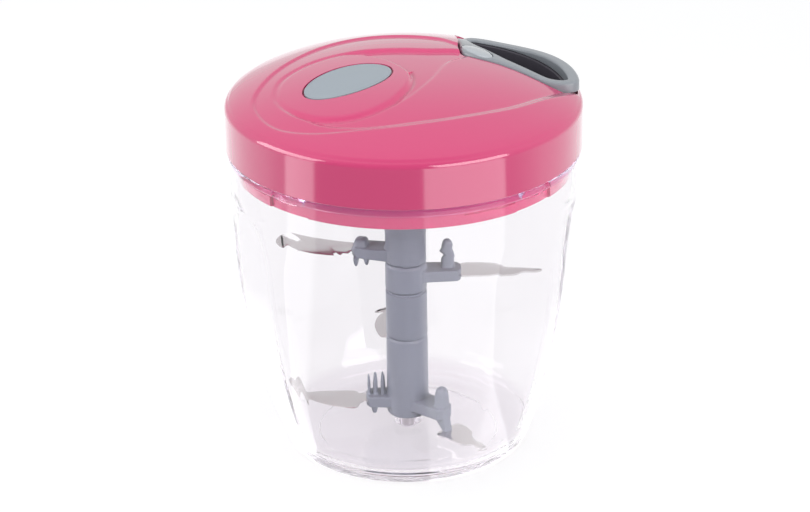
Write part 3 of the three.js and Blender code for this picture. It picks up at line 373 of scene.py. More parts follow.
# A look that runs round and round in the wall ends in plain clearness, not in the dark
spent = worked(glass, "GREATER_THAN", path.outputs["Ray Depth"], 4.5)
link(glass, worked(glass, "MAXIMUM", path.outputs["Is Shadow Ray"], spent), mix.inputs["Fac"])
link(glass, body.outputs[0], mix.inputs[1])
link(glass, clear.outputs[0], mix.inputs[2])
link(glass, mix.outputs[0], out.inputs["Surface"])


def finished(piece, material, body, slot, *stands_for):
    """Gives a piece its finish and the body it rides on. The slot is not used."""
    piece.data.materials.clear()
    piece.data.materials.append(material)
    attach(piece, body)
    if stands_for:
        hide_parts(*stands_for)


finished(bowl, glass, "bowl", "bowl_clear", "bowl")


# The lid cover
# A glossy pink moulding: a straight skirt, a rounded shoulder and a low dome. A comma-shaped field is pressed
# into the dome, with a raised place for the badge and a valley that runs from the handle's tip round it.
def moulded(name, colour, roughness, speck=0.04, grain=900, bump_height=0.00004, coat=0.0):
    """A moulded plastic: its colour and gloss vary a little, over a fine moulded grain."""
    material = bpy.data.materials.new(name)
    material.use_nodes = True
    place = node(material, "TexCoord").outputs["Object"]
    cloud = node(material, "TexNoise", {"Scale": 24, "Detail": 4})
    fine = node(material, "TexNoise", {"Scale": grain, "Detail": 3})
    bump = node(material, "Bump", {"Strength": 0.35, "Distance": bump_height})
    dark, light = [(*[min(1, c * (1 + side * speck)) for c in colour], 1) for side in (-1, 1)]
    shine = ramp(material, cloud.outputs["Fac"], 0, 1, roughness * 0.85, min(1, roughness * 1.15))
    body = material.node_tree.nodes["Principled BSDF"]
    link(material, place, cloud.inputs["Vector"])
    link(material, place, fine.inputs["Vector"])
    link(material, fine.outputs["Fac"], bump.inputs["Height"])
    link(material, between(material, cloud.outputs["Fac"], dark, light), body.inputs["Base Color"])
    link(material, shine, body.inputs["Roughness"])
    link(material, bump.outputs[0], body.inputs["Normal"])
    body.inputs["Coat Weight"].default_value = coat
    body.inputs["Coat Roughness"].default_value = 0.05
    return material


dome_rim, dome_radius, dome_rise, shell = 139.5, 65.4, 13.5, 3.8


def dome(r, drop=0.0):
    return dome_rim - drop + dome_rise * (1 - np.minimum(r / dome_radius, 1.05) ** 2.6)


def passing(a, b, c, d, t):
    """A point from b to c on a smooth curve through a, b, c and d."""
    return 0.5 * (2 * b + (c - a) * t + (2 * a - 5 * b + 4 * c - d) * t ** 2
                  + (3 * b - a - 3 * c + d) * t ** 3)


def curve_through(points, steps=8):
    """A smooth closed outline through points."""
    p = np.array(points, float)
    before, after, later = np.roll(p, 1, 0), np.roll(p, -1, 0), np.roll(p, -2, 0)
    rows = [passing(before, p, after, later, t) for t in np.linspace(0, 1, steps, endpoint=False)]
    return np.stack(rows, 1).reshape(-1, 2)


def depth_inside(x, y, outline):
    """Distance of points from an outline, positive inside it."""
    least = np.full(x.shape, 1e9)
    inside = np.zeros(x.shape, bool)
    for (ax, ay), (bx, by) in zip(outline, np.roll(outline, -1, 0)):
        ux, uy = bx - ax, by - ay
        t = np.clip(((x - ax) * ux + (y - ay) * uy) / max(ux * ux + uy * uy, 1e-12), 0, 1)
        least = np.minimum(least, np.hypot(x - ax - t * ux, y - ay - t * uy))
        if abs(uy) > 1e-12:
            crosses = ((ay > y) != (by > y)) & (x < ax + (y - ay) * ux / uy)
            inside ^= crosses
    return np.where(inside, least, -least)


def step_down(distance, width):
    """An eased step from 0 outside an outline to 1 inside it."""
    return step_up(distance / width * 0.5 + 0.5)


comma = curve_through([(30, 7), (27.6, 18.4), (17.9, 29.5), (5, 37), (-11, 38.3), (-30, 33.4), (-43, 26.8),
                       (-53.5, 17.6), (-58.3, 6.5), (-59.6, -5), (-57, -15), (-50, -25), (-38, -34.4),
                       (-24, -41.8), (-6, -46.9), (15.2, -47.9), (35.5, -42.8), (49.4, -37.7), (58, -33),
                       (50, -20), (38, -6)])
field = curve_through([(25, 3), (16.3, 7), (7.4, 13.6), (-4.6, 20.9), (-18.6, 24.8), (-29.8, 24.6),
                       (-40.1, 21), (-47.9, 12), (-50.4, 4), (-50.6, -4), (-49.6, -12), (-47.5, -20),
                       (-42, -28), (-35, -33.9), (-24, -39.4), (-6, -44.8), (15.2, -45.8), (35, -40.8),
                       (48, -36), (58, -31), (50, -20), (38, -6)])
plateau = curve_through([(-10, 21.6), (-18.6, 24.2), (-29.8, 24), (-39.8, 20.4), (-47.3, 12), (-49.8, 4),
                         (-50, -4), (-48, -12), (-44.9, -17.6), (-39, -23), (-31.6, -25.5), (-23, -25.2),
                         (-16.5, -22.5), (-9.5, -18), (-4.8, -12.4), (-2.2, -6.2), (-1.7, 0.4), (-2.6, 8),
                         (-5, 15)])
valley = curve_through([(-22, -26.4), (-14.8, -25), (-7.5, -21.8), (2.2, -16.1), (12.8, -7.8), (18.8, -4.6),
                        (25, -3.4), (30, 0), (25, 3), (16.3, 7), (7.4, 13.6), (-2.8, 19.7), (-3.8, 19.9),
                        (-4.2, 19), (-4, 12), (-2, 4), (-3, -8), (-6, -14), (-14, -21)])

rows = [(r, float(dome(r)) - 0.45 * max(0, (r - 60) / 4.6) ** 2) for r in np.linspace(64.4, 0.4, 120)]
under = [(r, float(dome(r, shell))) for r in np.linspace(0, 61, 24)]
skirt_radius, skirt_top, shoulder = 66.25, 136.4, 2.9
skirt = [(skirt_radius, 121.6), *[(skirt_radius, z) for z in np.linspace(122.6, skirt_top, 12)],
         *arc(skirt_radius - shoulder, skirt_top, shoulder, 4, 58, 12)]
section = [(0, float(dome(0, shell))), *under[1:], (63.4, 138.2), (64.2, 137), (64.2, 121.3), (65.95, 121.3),
           *skirt, *rows, (0, float(dome(0)))]
cover = spun("lid_shell", section, 400)
co = places_of(cover) / mm
x, y, reach = co[:, 0], co[:, 1], np.hypot(co[:, 0], co[:, 1])
top = (co[:, 2] > dome(reach, 0.4)) & (reach < 64.9)
tx, ty = x[top], y[top]
pressed = 0.8 * step_down(depth_inside(tx, ty, comma), 0.8)
pressed += 1.1 * step_down(depth_inside(tx, ty, field), 1.3)
on_plateau = depth_inside(tx, ty, plateau)
pressed -= 0.8 * step_down(on_plateau, 1.3)
pressed += 0.55 * np.exp(-((on_plateau + 0.6) / 0.9) ** 2) * np.clip((6 - ty) / 14, 0, 1)
pressed += 0.3 * step_down(depth_inside(tx, ty, valley), 0.8)
co[top, 2] -= pressed
put(cover, co * mm)


def fan(tip, half_width, arc_radius, shares, steps=6):
    """Outline of the handle's family: a blunt tip towards the middle and an arc along the lid's edge."""
    corner_x = math.sqrt(arc_radius ** 2 - half_width ** 2)
    side = [(tip + (corner_x - tip) * a, half_width * b) for a, b in shares]
    points = np.array([(px, -py) for px, py in side[:0:-1]] + side)
    ends = np.vstack([2 * points[0] - points[1], points, 2 * points[-1] - points[-2]])
    edge = []
    for i in range(1, len(ends) - 2):
        edge += [passing(*ends[i - 1:i + 3], t) for t in np.linspace(0, 1, steps, endpoint=False)]
    edge.append(points[-1])
    end = math.asin(half_width / arc_radius)
    rest = [(arc_radius * math.cos(t), arc_radius * math.sin(t)) for t in np.linspace(end, -end, 42)[1:-1]]
    return np.vstack([edge, rest])


def grown(outline, distance):
    """An outline moved outwards."""
    before, after = np.roll(outline, 1, 0), np.roll(outline, -1, 0)
    along = after - before
    along /= np.hypot(along[:, 0], along[:, 1])[:, None]
    area = np.sum(outline[:, 0] * after[:, 1] - after[:, 0] * outline[:, 1])
    return outline + np.stack([along[:, 1], -along[:, 0]], 1) * distance * np.sign(area)


def draw(outline, z):
    """Draws a closed outline as a flat face, point by point, in a new piece left in edit mode."""
    bpy.ops.object.select_all(action="DESELECT")
    bpy.ops.mesh.primitive_circle_add(vertices=len(outline), radius=mm, fill_type="NGON")
    piece = bpy.context.object
    places = places_of(piece)
    places[:] = [(px * mm, py * mm, z * mm) for px, py in outline[::-1]]
    put(piece, places)
    bpy.ops.object.mode_set(mode="EDIT")
    bpy.ops.mesh.select_all(action="SELECT")
    return piece


def slab(name, outline, low, high):
    """A straight-sided body with the given outline."""
    piece = draw(outline, low)
    piece.name = name
    bpy.ops.mesh.extrude_region_move(TRANSFORM_OT_translate={"value": (0, 0, (high - low) * mm)})
    close_up()
    return piece


edge_shares = [(0, 0), (0.07, 0.15), (0.26, 0.36), (0.44, 0.62), (0.61, 0.84), (0.79, 0.975), (1, 1)]
hole_shares = [(0, 0), (0.03, 0.28), (0.16, 0.48), (0.42, 0.74), (0.66, 0.92), (0.84, 0.99), (1, 1)]
handle_line = fan(27, 36, 65.3, edge_shares)
pocket_line = fan(30.8, 32.2, 61.5, edge_shares)
hole_line = fan(38.8, 31.6, 60.9, hole_shares)
ledge, pocket_floor = 139.65, 127.45


def ellipse(cx, cy, half_x, half_y, steps=96):
    turns = np.linspace(0, 2 * math.pi, steps, endpoint=False)
    return np.stack([cx + half_x * np.cos(turns), cy + half_y * np.sin(turns)], 1)


def disc(x, y, radius, low, high, steps=32):
    return slab("disc", ellipse(x, y, radius, radius, steps), low, high)


def filled(name, drop, side, count, steps):
    """The room below the dome, up to a drop from its face."""
    under = [(r, float(dome(r, drop))) for r in (*np.linspace(64.6, 0.5, count), 0)]
    return spun(name, [(0, 110), (65.9, 110), (65.9, side), *under], steps)


dome_solid = filled("dome_inside", 2.2, 137, 40, 200)
block = slab("recess_walls", grown(handle_line, 2.8), ledge - 2, 170)
block = joined(block, [slab("pocket_walls", grown(pocket_line, 2), pocket_floor - 2, 168),
                       disc(0, 0, 7, 147.4, 167)], "UNION")
screw_spots = [(48 * math.cos(math.radians(a)), 48 * math.sin(math.radians(a))) for a in (62, 150, 210, 298)]


def at_screws(radius, low, high):
    return [disc(px, py, radius, low, high) for px, py in screw_spots]


block = joined(block, at_screws(4, 118.5, 166), "UNION")
block = joined(block, [dome_solid], "INTERSECT")
cover = joined(cover, [block], "UNION")
badge_x, badge_long, badge_wide = -24, 17.4, 11.2
cuts = [slab("recess", grown(handle_line, 0.8), ledge, 170), slab("pocket", pocket_line, pocket_floor, 170),
        disc(0, 0, 3.3, 140, 149.9), *at_screws(1.9, 110, 129.5)]
seat = slab("badge_seat", ellipse(badge_x, 0, badge_long + 0.75, badge_wide + 0.75), 140, 170)
sunk = filled("dome_under", 2.7, 130, 60, 240)
cuts.append(joined(seat, [sunk], "DIFFERENCE"))
cover = joined(cover, cuts, "DIFFERENCE")
smooth(cover, 30)
pink = moulded("glossy_pink", (0.7, 0.055, 0.19), 0.14, speck=0.02, grain=500, bump_height=0.00001, coat=1)
finished(cover, pink, "lid", "lid_pink", "lid_cover")


# The badge
# A bare satin-grey oval plate with a thin raised edge, let into the raised place of the lid and glued down.
badge = draw(ellipse(badge_x, 0, badge_long, badge_wide), 160)
badge.name = "badge_oval"
for inset in (0.45, 0.25, 1.1, 1.6, 1.8, 1.8):
    bpy.ops.mesh.inset(thickness=inset * mm)
bpy.ops.object.mode_set(mode="OBJECT")
co = places_of(badge) / mm
reach = np.hypot(co[:, 0], co[:, 1])
edge = ((co[:, 0] - badge_x) / badge_long) ** 2 + (co[:, 1] / badge_wide) ** 2
co[:, 2] = dome(reach, 0.95) - np.where(edge < 0.9, 0.18, 0) - np.where(edge > 0.995, 0.22, 0)
put(badge, co * mm)
bpy.ops.object.mode_set(mode="EDIT")
bpy.ops.mesh.select_all(action="SELECT")
bpy.ops.mesh.extrude_region_move(TRANSFORM_OT_translate={"value": (0, 0, -1.3 * mm)})
close_up()
smooth(badge, 35)
badge_grey = moulded("badge_satin", (0.36, 0.41, 0.45), 0.34, speck=0.03, grain=1400, bump_height=0.00002)
finished(badge, badge_grey, "lid", "badge_grey", "badge_plate")


# The pull handle
# A grey moulded loop in the lid's recess: a blunt tip towards the middle, a thin band at each side and an arc
# along the lid's edge. Its top follows the dome, a little lower at its far side, and the web at its tip holds
# the knot.
def lofted(name, rows):
    """A skin drawn through rows of points. A row that closes on itself repeats its first point at its end."""
    rows = np.array(rows, float)
    bpy.ops.object.select_all(action="DESELECT")
    across, down = rows.shape[1] - 1, rows.shape[0] - 1
    bpy.ops.mesh.primitive_grid_add(x_subdivisions=across, y_subdivisions=down, size=mm)
    piece = bpy.context.object
    piece.name = name
    put(piece, rows.reshape(-1, 3) * mm)
    bpy.ops.object.mode_set(mode="EDIT")
    bpy.ops.mesh.select_all(action="SELECT")
    bpy.ops.mesh.remove_doubles(threshold=0.004 * mm)
    close_up()
    return piece


def eased(outline, passes):
    """Rounds the corners of an outline."""
    for _ in range(passes):
        outline = 0.5 * outline + 0.25 * (np.roll(outline, 1, 0) + np.roll(outline, -1, 0))
    return outline


def ring_of(outline, z):
    """A closed row of points at one height, or at a height for each point."""
    heights = np.broadcast_to(z, len(outline))
    row = np.column_stack([outline, heights])
    return np.vstack([row, row[:1]])


handle_foot, handle_edge = 139.95, 142.6


def handle_top(outline):
    level = dome(np.hypot(outline[:, 0], outline[:, 1]), 0.9)
    far = step_down(outline[:, 1] - 10, 16)
    edge = handle_edge - 1.6 * np.sin(np.clip(outline[:, 1] / 30, -1, 1) * math.pi / 2)
    return 0.5 * (level + edge + np.hypot(level - edge, 0.8)) - 0.4 * far


outer_line, inner_line = eased(handle_line, 7), eased(hole_line, 4)
outer_round, inner_round = 1.3, 0.9
quarter = np.radians([0, 22, 45, 68, 90])
rows = [ring_of(grown(outer_line, -0.35), handle_foot), ring_of(outer_line, handle_foot + 0.35)]
for t in quarter:
    edge = grown(outer_line, -outer_round * (1 - math.cos(t)))
    level = np.maximum(handle_top(edge) - outer_round * (1 - math.sin(t)), handle_foot + 0.37)
    rows.append(ring_of(edge, level))
for share in (0.25, 0.5, 0.75):
    edge = grown(outer_line, -outer_round) * (1 - share) + grown(inner_line, inner_round) * share
    rows.append(ring_of(edge, handle_top(edge)))
for t in quarter[::-1]:
    edge = grown(inner_line, inner_round * (1 - math.cos(t)))
    rows.append(ring_of(edge, handle_top(edge) - inner_round * (1 - math.sin(t))))
rows += [ring_of(inner_line, handle_foot + 0.3), ring_of(grown(inner_line, 0.3), handle_foot), rows[0]]
handle = lofted("pull_loop", rows)
knot_x, cord_z, cap_x = 33.6, 144.2, 33
channel = ellipse(0, 0, 1.2, 1.2, 20)
channel = [[(x, s * a, cord_z + s * b) for a, b in np.vstack([channel, channel[:1]])]
           for x, s in ((25, 0), (25, 1), (knot_x, 1), (knot_x, 0))]
seat = slab("cap_seat", ellipse(cap_x, 0, 4.25, 8.7), 146, 160)
co = places_of(seat) / mm
co[:, 2] = np.where(co[:, 2] < 150, handle_top(co[:, :2]) - 1.5, 160)
put(seat, co * mm)
knot_room = disc(knot_x, 0, 2.7, 141.5, 149.5)
handle = joined(handle, [lofted("cord_channel", channel), knot_room, seat], "DIFFERENCE")
smooth(handle, 40)
handle_grey = moulded("handle_satin", (0.3, 0.325, 0.35), 0.3, speck=0.03, grain=1200, bump_height=0.00002,
                      coat=0.2)
finished(handle, handle_grey, "handle", "handle_grey", "pull_handle")


# The cap
# A small oval plug with a crowned, glossier top, pressed into the web over the knot.
rows = []
for size, lift in ((0, -1.3), (0.97, -1.3), (1, -1.1), (1, -0.3), (0.97, -0.05), (0.88, 0.15), (0.66, 0.38),
                   (0.36, 0.52), (0, 0.56)):
    edge = ellipse(cap_x, 0, 4 * size, 8.5 * size, 64)
    rows.append(ring_of(edge, handle_top(edge) + lift))
cap = lofted("cap_oval", rows)
smooth(cap, 50)
cap_grey = moulded("cap_gloss", (0.5, 0.535, 0.565), 0.16, speck=0.02, grain=900, bump_height=0.00001,
                   coat=0.4)
finished(cap, cap_grey, "handle", "handle_grey", "handle_cap")


# The pocket liner
# A thin dark-grey tray clipped into the finger pocket, with a rounded floor and a lip on the recess ledge.
# Its near-black colour is partly painted shade, for the deep pocket.
liner_out, liner_in = eased(grown(pocket_line, -0.3), 2), eased(grown(pocket_line, -1.5), 2)
centre = np.tile((50.0, 0.0), (len(liner_out), 1))
tray = lofted("pocket_liner", [
    ring_of(centre, 127.75), ring_of(grown(liner_out, -0.9), 127.75), ring_of(grown(liner_out, -0.25), 128),
    ring_of(liner_out, 128.7), ring_of(liner_out, 139.6), ring_of(grown(liner_out, 0.3), 139.68),
    ring_of(grown(liner_out, 1.2), 139.68), ring_of(grown(liner_out, 1.25), 139.76),
    ring_of(grown(liner_out, 1.15), 139.84), ring_of(grown(liner_in, 0.5), 139.84),
    ring_of(grown(liner_in, 0.15), 139.7), ring_of(liner_in, 139.2), ring_of(liner_in, 131.2),
    ring_of(grown(liner_in, -0.5), 129.9), ring_of(grown(liner_in, -1.6), 129.15),
    ring_of(grown(liner_in, -3), 128.95), ring_of(centre, 128.95)])
smooth(tray, 50)
# The liner's near-black is partly its own dark grey and partly painted shade in the deep finger pocket.
dark = moulded("liner_grey_painted_shade", (0.075, 0.068, 0.084), 0.42, speck=0.06, grain=1500, bump_height=0.00004)
finished(tray, dark, "lid", "tray_grey", "pocket_tray")


# The lid base
# A pink dish screwed up into the cover. It closes the reel's room, sits inside the bowl's rim, and takes the
# bowl's four lugs in slots that run aside. The bush for the drive fills its centre hole.
def sector(inner, outer, start, end, steps=10):
    turns = np.radians(np.linspace(start, end, steps + 1))
    out = [(outer * math.cos(t), outer * math.sin(t)) for t in turns]
    return np.array(out + [(inner * math.cos(t), inner * math.sin(t)) for t in turns[::-1]])


base = spun("base_dish", [
    (10.3, 112.5), (10.5, 112.3), (61.2, 112.3), (61.8, 112.5), (62, 113.1), (62, 122.6), (62.3, 123),
    (63.7, 123), (63.9, 123.2), (63.9, 124.8), (63.7, 125), (59.2, 125), (59, 124.8), (59, 115.8),
    (58.7, 115.1), (58, 114.8), (10.5, 114.8), (10.3, 114.6), (10.3, 112.5)], 240)
base = joined(base, at_screws(5.2, 114.4, 118.2), "UNION")
cuts = at_screws(3.6, 100, 115.5) + at_screws(1.9, 100, 130)
for middle in (15, 105, 195, 285):
    cuts.append(slab("entry", sector(60.9, 70, middle - 8.5, middle + 8.5), 100, 119.9))
    cuts.append(slab("run", sector(60.9, 70, middle - 28.5, middle), 116.1, 119.9))
base = joined(base, cuts, "DIFFERENCE")
smooth(base, 30)
finished(base, pink, "lid", "lid_pink", "lid_base")

# The seal
# A round-edged ring of milky silicone that lies on the bowl's rim inside the lid's skirt.
seal = spun("rim_seal", arc(63.1, 122, 0.7, 0, 360, 20), 200)
smooth(seal, 50)
milky = moulded("milky_silicone", (0.8, 0.79, 0.78), 0.5, speck=0.03, grain=600, bump_height=0.00004)
finished(seal, milky, "seal", "silicone", "lid_seal")


# The lid screws
# Four round-headed steel screws with a cross recess, driven up through the base into the cover's bosses.
def bright(name, colour, roughness):
    """Steel: bright metal with fine drawn marks."""
    steel = moulded(name, colour, roughness, speck=0.04, grain=700, bump_height=0.00001)
    steel.node_tree.nodes["Principled BSDF"].inputs["Metallic"].default_value = 1
    return steel


def cross_screw(name, head, head_height, shank, length):
    threads = [p for z in np.arange(head_height + 0.8, head_height + length - 1.2, 0.8)
               for p in ((shank - 0.35, z), (shank, z + 0.4))]
    screw = spun(name, [(0, 0), (head * 0.75, 0), (head * 0.93, 0.25), (head, 0.8), (head, head_height - 0.3),
                        (head - 0.2, head_height), (shank - 0.3, head_height), *threads,
                        (shank - 0.4, head_height + length - 1), (0, head_height + length)], 48)
    reach = head * 0.7
    bars = [slab("slot", [(-a, -b), (a, -b), (a, b), (-a, b)], -1, 1.2)
            for a, b in ((reach, 0.45), (0.45, reach))]
    screw = joined(screw, bars, "DIFFERENCE")
    smooth(screw, 35)
    return screw


def swung(co, angle):
    """Points turned about the upright axis."""
    c, s = math.cos(angle), math.sin(angle)
    return np.stack([co[:, 0] * c - co[:, 1] * s, co[:, 0] * s + co[:, 1] * c, co[:, 2]], 1)


def copied(piece, name, x, y, z, angle):
    """A copy with a mesh of its own, turned about the upright axis and moved."""
    other = piece.copy()
    other.data = piece.data.copy()
    other.name = name
    scene.collection.objects.link(other)
    put(other, swung(places_of(other), angle) + np.array((x, y, z)) * mm)
    return other


zinc = bright("zinc_steel", (0.62, 0.61, 0.6), 0.3)
screw = cross_screw("screw_pattern", 3.3, 2.4, 1.6, 14)
for number, (px, py) in enumerate(screw_spots, 1):
    one = copied(screw, f"base_screw_{number}", px, py, 112.8, 0.7 * number)
    finished(one, zinc, "lid", "steel", f"lid_screw_{number}")
bpy.data.objects.remove(screw)


# The blade shaft
# Two hubs, a spacer and a head moulded in grey, stacked on a hexagonal steel core. Flat arms grow out of the
# hubs and the head to hold the blades. Posts stand on the arms, and fins below them push the food about.
def shaft_radius(z):
    return 8.2 - 0.5 * (z - 9.2) / 87.4


def sleeve(name, low, high):
    r0, r1 = shaft_radius(low), shaft_radius(high)
    return spun(name, [(4.75, low), (r0 - 0.5, low), (r0 - 0.1, low + 0.15), (r0, low + 0.5),
                       (r1, high - 0.95), (r1 - 0.12, high - 0.8), (r1 - 0.42, high - 0.7),
                       (r1 - 0.45, high - 0.15), (r1 - 0.6, high), (4.75, high), (4.75, low)], 96)


def rounded_box(x, y, half_long, half_wide, z, steps=28):
    turns = np.linspace(0, 2 * math.pi, steps, endpoint=False)
    a, b = np.cos(turns), np.sin(turns)
    px = x + half_long * np.sign(a) * np.abs(a) ** 0.55
    py = y + half_wide * np.sign(b) * np.abs(b) ** 0.55
    return ring_of(np.stack([px, py], 1), z)


def post(x, y, long, wide, rise, tip, height):
    """A post on an arm, or a fin below it where the rise is negative: drawn in and rounded at its end."""
    side = 1 if rise > 0 else -1
    root = height + side * 1.7
    levels = ((0, 0), (0, 1), (0.45, 0.98), (0.78, (1.3 + tip) / 2.3), (0.9, (0.6 + tip) / 1.7),
              (0.97, tip * 0.75), (1, tip * 0.4), (1, 0))
    rows = [rounded_box(x, y, long / 2 * s, wide / 2 * s, root + rise * up) for up, s in levels]
    return lofted("post", rows)


def arm(reach, height, posts):
    """A flat arm with a blunt nose, along +X, with its posts."""
    outline = [(3.8, -5.2), (reach - 1.6, -4.2), (reach, -2.1), (reach, 2.1), (reach - 1.6, 4.2), (3.8, 5.2)]
    bar = slab("arm", outline, height - 2.2, height + 2.2)
    return joined(bar, [post(*p, height) for p in posts], "UNION")


def turned(piece, degrees):
    put(piece, swung(places_of(piece), math.radians(degrees)))
    return piece


def moulded_together(piece, others):
    """Joins bodies into one moulding with small fillets where they meet."""
    piece = joined(piece, others, "UNION")
    bpy.ops.object.select_all(action="DESELECT")
    piece.select_set(True)
    bpy.context.view_layer.objects.active = piece
    skin = piece.modifiers.new("skin", "REMESH")
    skin.mode = "VOXEL"
    skin.voxel_size = 0.33 * mm
    bpy.ops.object.modifier_apply(modifier=skin.name)
    ease = piece.modifiers.new("ease", "SMOOTH")
    ease.factor = 0.5
    ease.iterations = 4
    bpy.ops.object.modifier_apply(modifier=ease.name)
    smooth(piece, 60)
    return piece


shaft_grey = moulded("shaft_satin", (0.24, 0.257, 0.31), 0.34, speck=0.03, grain=1100, bump_height=0.00002)
leg = lofted("leg", [rounded_box(x, 0, a * s, b * s, z) for x, a, b, z, s in (
    (20.6, 1.4, 1.8, 7.0, 0), (20.6, 1.4, 1.8, 7.0, 1), (19.6, 1.8, 2.1, 9, 1), (17.4, 3, 2.5, 13, 1),
    (17.4, 3, 2.5, 13, 0))])
lower_arms = [
    turned(arm(16.5, 31, [(13.6, 0, 4.2, 5, 7, 0.5)]), 66),
    turned(arm(16.5, 14.6, [(9.6, 0, 1.6, 4.4, 9.6, 0.3), (12.4, 0, 1.9, 4.4, 9.6, 0.3),
                            (15, 0, 1.6, 4.4, 8.6, 0.3), (12.8, 2.6, 2.4, 3, -3.6, 0.4)]), 148),
    turned(joined(arm(20.5, 14.5, [(17.4, 0.4, 4.6, 5.2, 8.4, 0.6)]), [leg], "UNION"), -76)]
lower = moulded_together(sleeve("lower_sleeve", 9.2, 42), lower_arms)
finished(lower, shaft_grey, "blades", "shaft_grey", "lower_hub")
spacer = sleeve("middle_sleeve", 42.3, 61.3)
smooth(spacer, 30)
finished(spacer, shaft_grey, "blades", "shaft_grey", "shaft_spacer")
upper_arm = turned(arm(21, 67.5, [(15.8, 0.8, 5, 5, 11.6, 0.55)]), -31)
upper = moulded_together(sleeve("upper_sleeve", 61.6, 72.6), [upper_arm])
finished(upper, shaft_grey, "blades", "shaft_grey", "upper_hub")
head_parts = [turned(arm(20.5, 75.5, [(17.2, 0.6, 5.2, 6, 3.4, 0.7), (14.6, 2.4, 1.7, 4, -3.6, 0.3),
                                      (18.6, 3.2, 1.7, 4, -4.2, 0.3)]), 132),
              disc(0, 0, 7.9, 84.9, 96.2, 64), disc(0, 0, 4.4, 96, 107.5, 48)]
head_parts += [slab("dog", sector(2.2, 8.8, a - 15, a + 15), 96.9, 107.5) for a in (0, 120, 240)]
head = moulded_together(sleeve("head_sleeve", 72.9, 96.6), head_parts)
finished(head, shaft_grey, "blades", "shaft_grey", "shaft_head")


# The blades
# Five blades cut from 0.8 mm stainless sheet and ground to an edge on the side that leads. Each tang is
# moulded into its arm. The lowest hangs on a leg just above the floor, and the one above it is bent up.
blade_shapes = {
    "leaf": [(0.26, 0.6), (0.53, 0.66), (0.73, 0.49), (0.86, 0.27), (0.89, 0.5), (1, 0.1), (1, -0.36),
             (0.94, -0.33), (0.81, -0.4), (0.56, -0.36), (0.4, -0.3), (0.26, -0.28)],
    "hook": [(0.26, 0.62), (0.54, 0.54), (0.66, 0.27), (0.77, 0.19), (1, 0.02), (0.95, -0.17), (0.82, -0.16),
             (0.72, -0.36), (0.45, -0.37), (0.26, -0.36)],
    "bent": [(0.24, 0.66), (0.48, 0.5), (0.66, 0.24), (0.78, 0.02), (0.82, 0.48), (1, -0.04), (1, -0.44),
             (0.82, -0.4), (0.6, -0.45), (0.26, -0.42)],
}


def blade(name, shape, degrees, height, reach, width, tang=True, rise=0.0):
    """A ground blade along +X, turned to its place."""
    long = reach - 12
    points = [(12 + long * a, width * b) for a, b in blade_shapes[shape]]
    if tang:
        points = [(12, -2.9), (12, 2.9), (points[0][0] - 2.5, 3.2), *points, (points[-1][0] - 2.5, -3)]
    outline = curve_through(points, 5)
    piece = draw(outline, 0)
    piece.name = name
    bpy.ops.mesh.inset(thickness=1.1 * mm)
    bpy.ops.mesh.select_all(action="SELECT")
    fold, end = 12 + long * 0.82, 12 + long
    if rise:
        for x in (fold - 0.7, fold, fold + 0.7):
            bpy.ops.mesh.select_all(action="SELECT")
            bpy.ops.mesh.bisect(plane_co=(x * mm, 0, 0), plane_no=(1, 0, 0))
    bpy.ops.mesh.select_all(action="SELECT")
    bpy.ops.mesh.extrude_region_move(TRANSFORM_OT_translate={"value": (0, 0, -mm)})
    close_up()
    co = places_of(piece) / mm
    x, y = co[:, 0], co[:, 1]
    rim_of_it = np.abs(depth_inside(x, y, outline)) < 0.2
    ground = rim_of_it & (y > 0) & (x > 16)
    half = np.where(ground, 0.06, np.where(rim_of_it, 0.33, 0.4))
    rest = end - fold
    bend = np.clip((x - fold + 0.35) / rest, 0, 1) - 0.35 * np.clip((x - fold + 0.7) / 1.4, 0, 1) / rest
    co[:, 2] = np.where(co[:, 2] > -0.5, half, -half) + height + rise * np.maximum(bend, 0)
    put(piece, co * mm)
    smooth(turned(piece, degrees), 25)
    return piece


stainless = bright("stainless_sheet", (0.72, 0.69, 0.7), 0.17)
for name, *place in (("blade_upper_left", "leaf", 132, 75.5, 51.3, 12),
                     ("blade_upper_right", "hook", -31, 67.5, 51, 12.6),
                     ("blade_middle", "leaf", 66, 31, 47.5, 12),
                     ("blade_lower_left", "bent", 148, 14.6, 45.4, 13, True, 6.5),
                     ("blade_lower_right", "hook", -76, 6.8, 40, 12, False)):
    finished(blade("ground_" + name, *place), stainless, "blades", "steel", name)


# The pins, core and shaft fittings
# A steel pin with a rounded end stands in the bowl's boss and carries the shaft. The core is a drawn bar.
pin = spun("centre_pin", [(0, 2.4), (2.1, 2.4), (2.4, 2.7), (2.4, 22.2), (2.15, 23.2), (1.4, 23.85), (0, 24)],
                          48)
smooth(pin, 40)
finished(pin, zinc, "bowl", "steel", "bowl_pivot_pin")


# The drive
# A grey socket with three dogs turns in a white bush in the lid base. Its stem carries a white disc with two
# steel pawls, which push the reel's ratchet when the cord is pulled and trail over it on the way back.
bush = spun("base_bush", [
    (7.6, 112.5), (7.8, 112.3), (9.8, 112.3), (10, 112.5), (10, 115.1), (11.8, 115.1), (12, 115.3),
    (12, 115.9), (11.8, 116.1), (7.8, 116.1), (7.6, 115.9), (7.6, 112.5)], 72)
smooth(bush, 30)
white = moulded("white_moulding", (0.78, 0.78, 0.76), 0.38, speck=0.02, grain=900, bump_height=0.00002)
finished(bush, white, "lid", "white_plastic", "drive_bush")

socket = spun("dog_socket", [
    (0, 109.3), (8.9, 109.3), (9.2, 109), (9.2, 97.8), (9.5, 97.5), (11.7, 97.5), (12, 97.8), (12, 111.3),
    (11.6, 111.7), (7.5, 111.7), (7.3, 111.9), (7.3, 118.3), (7.1, 118.5), (0, 118.5)], 96)
socket = joined(socket, [slab("dog", sector(5.2, 9.5, a - 15, a + 15), 97.8, 109.6) for a in (60, 180, 300)]
                + [disc(0, 0, 5, 118, 121.6, 6)], "UNION")
smooth(socket, 30)
finished(socket, shaft_grey, "drive", "shaft_grey", "drive_socket")

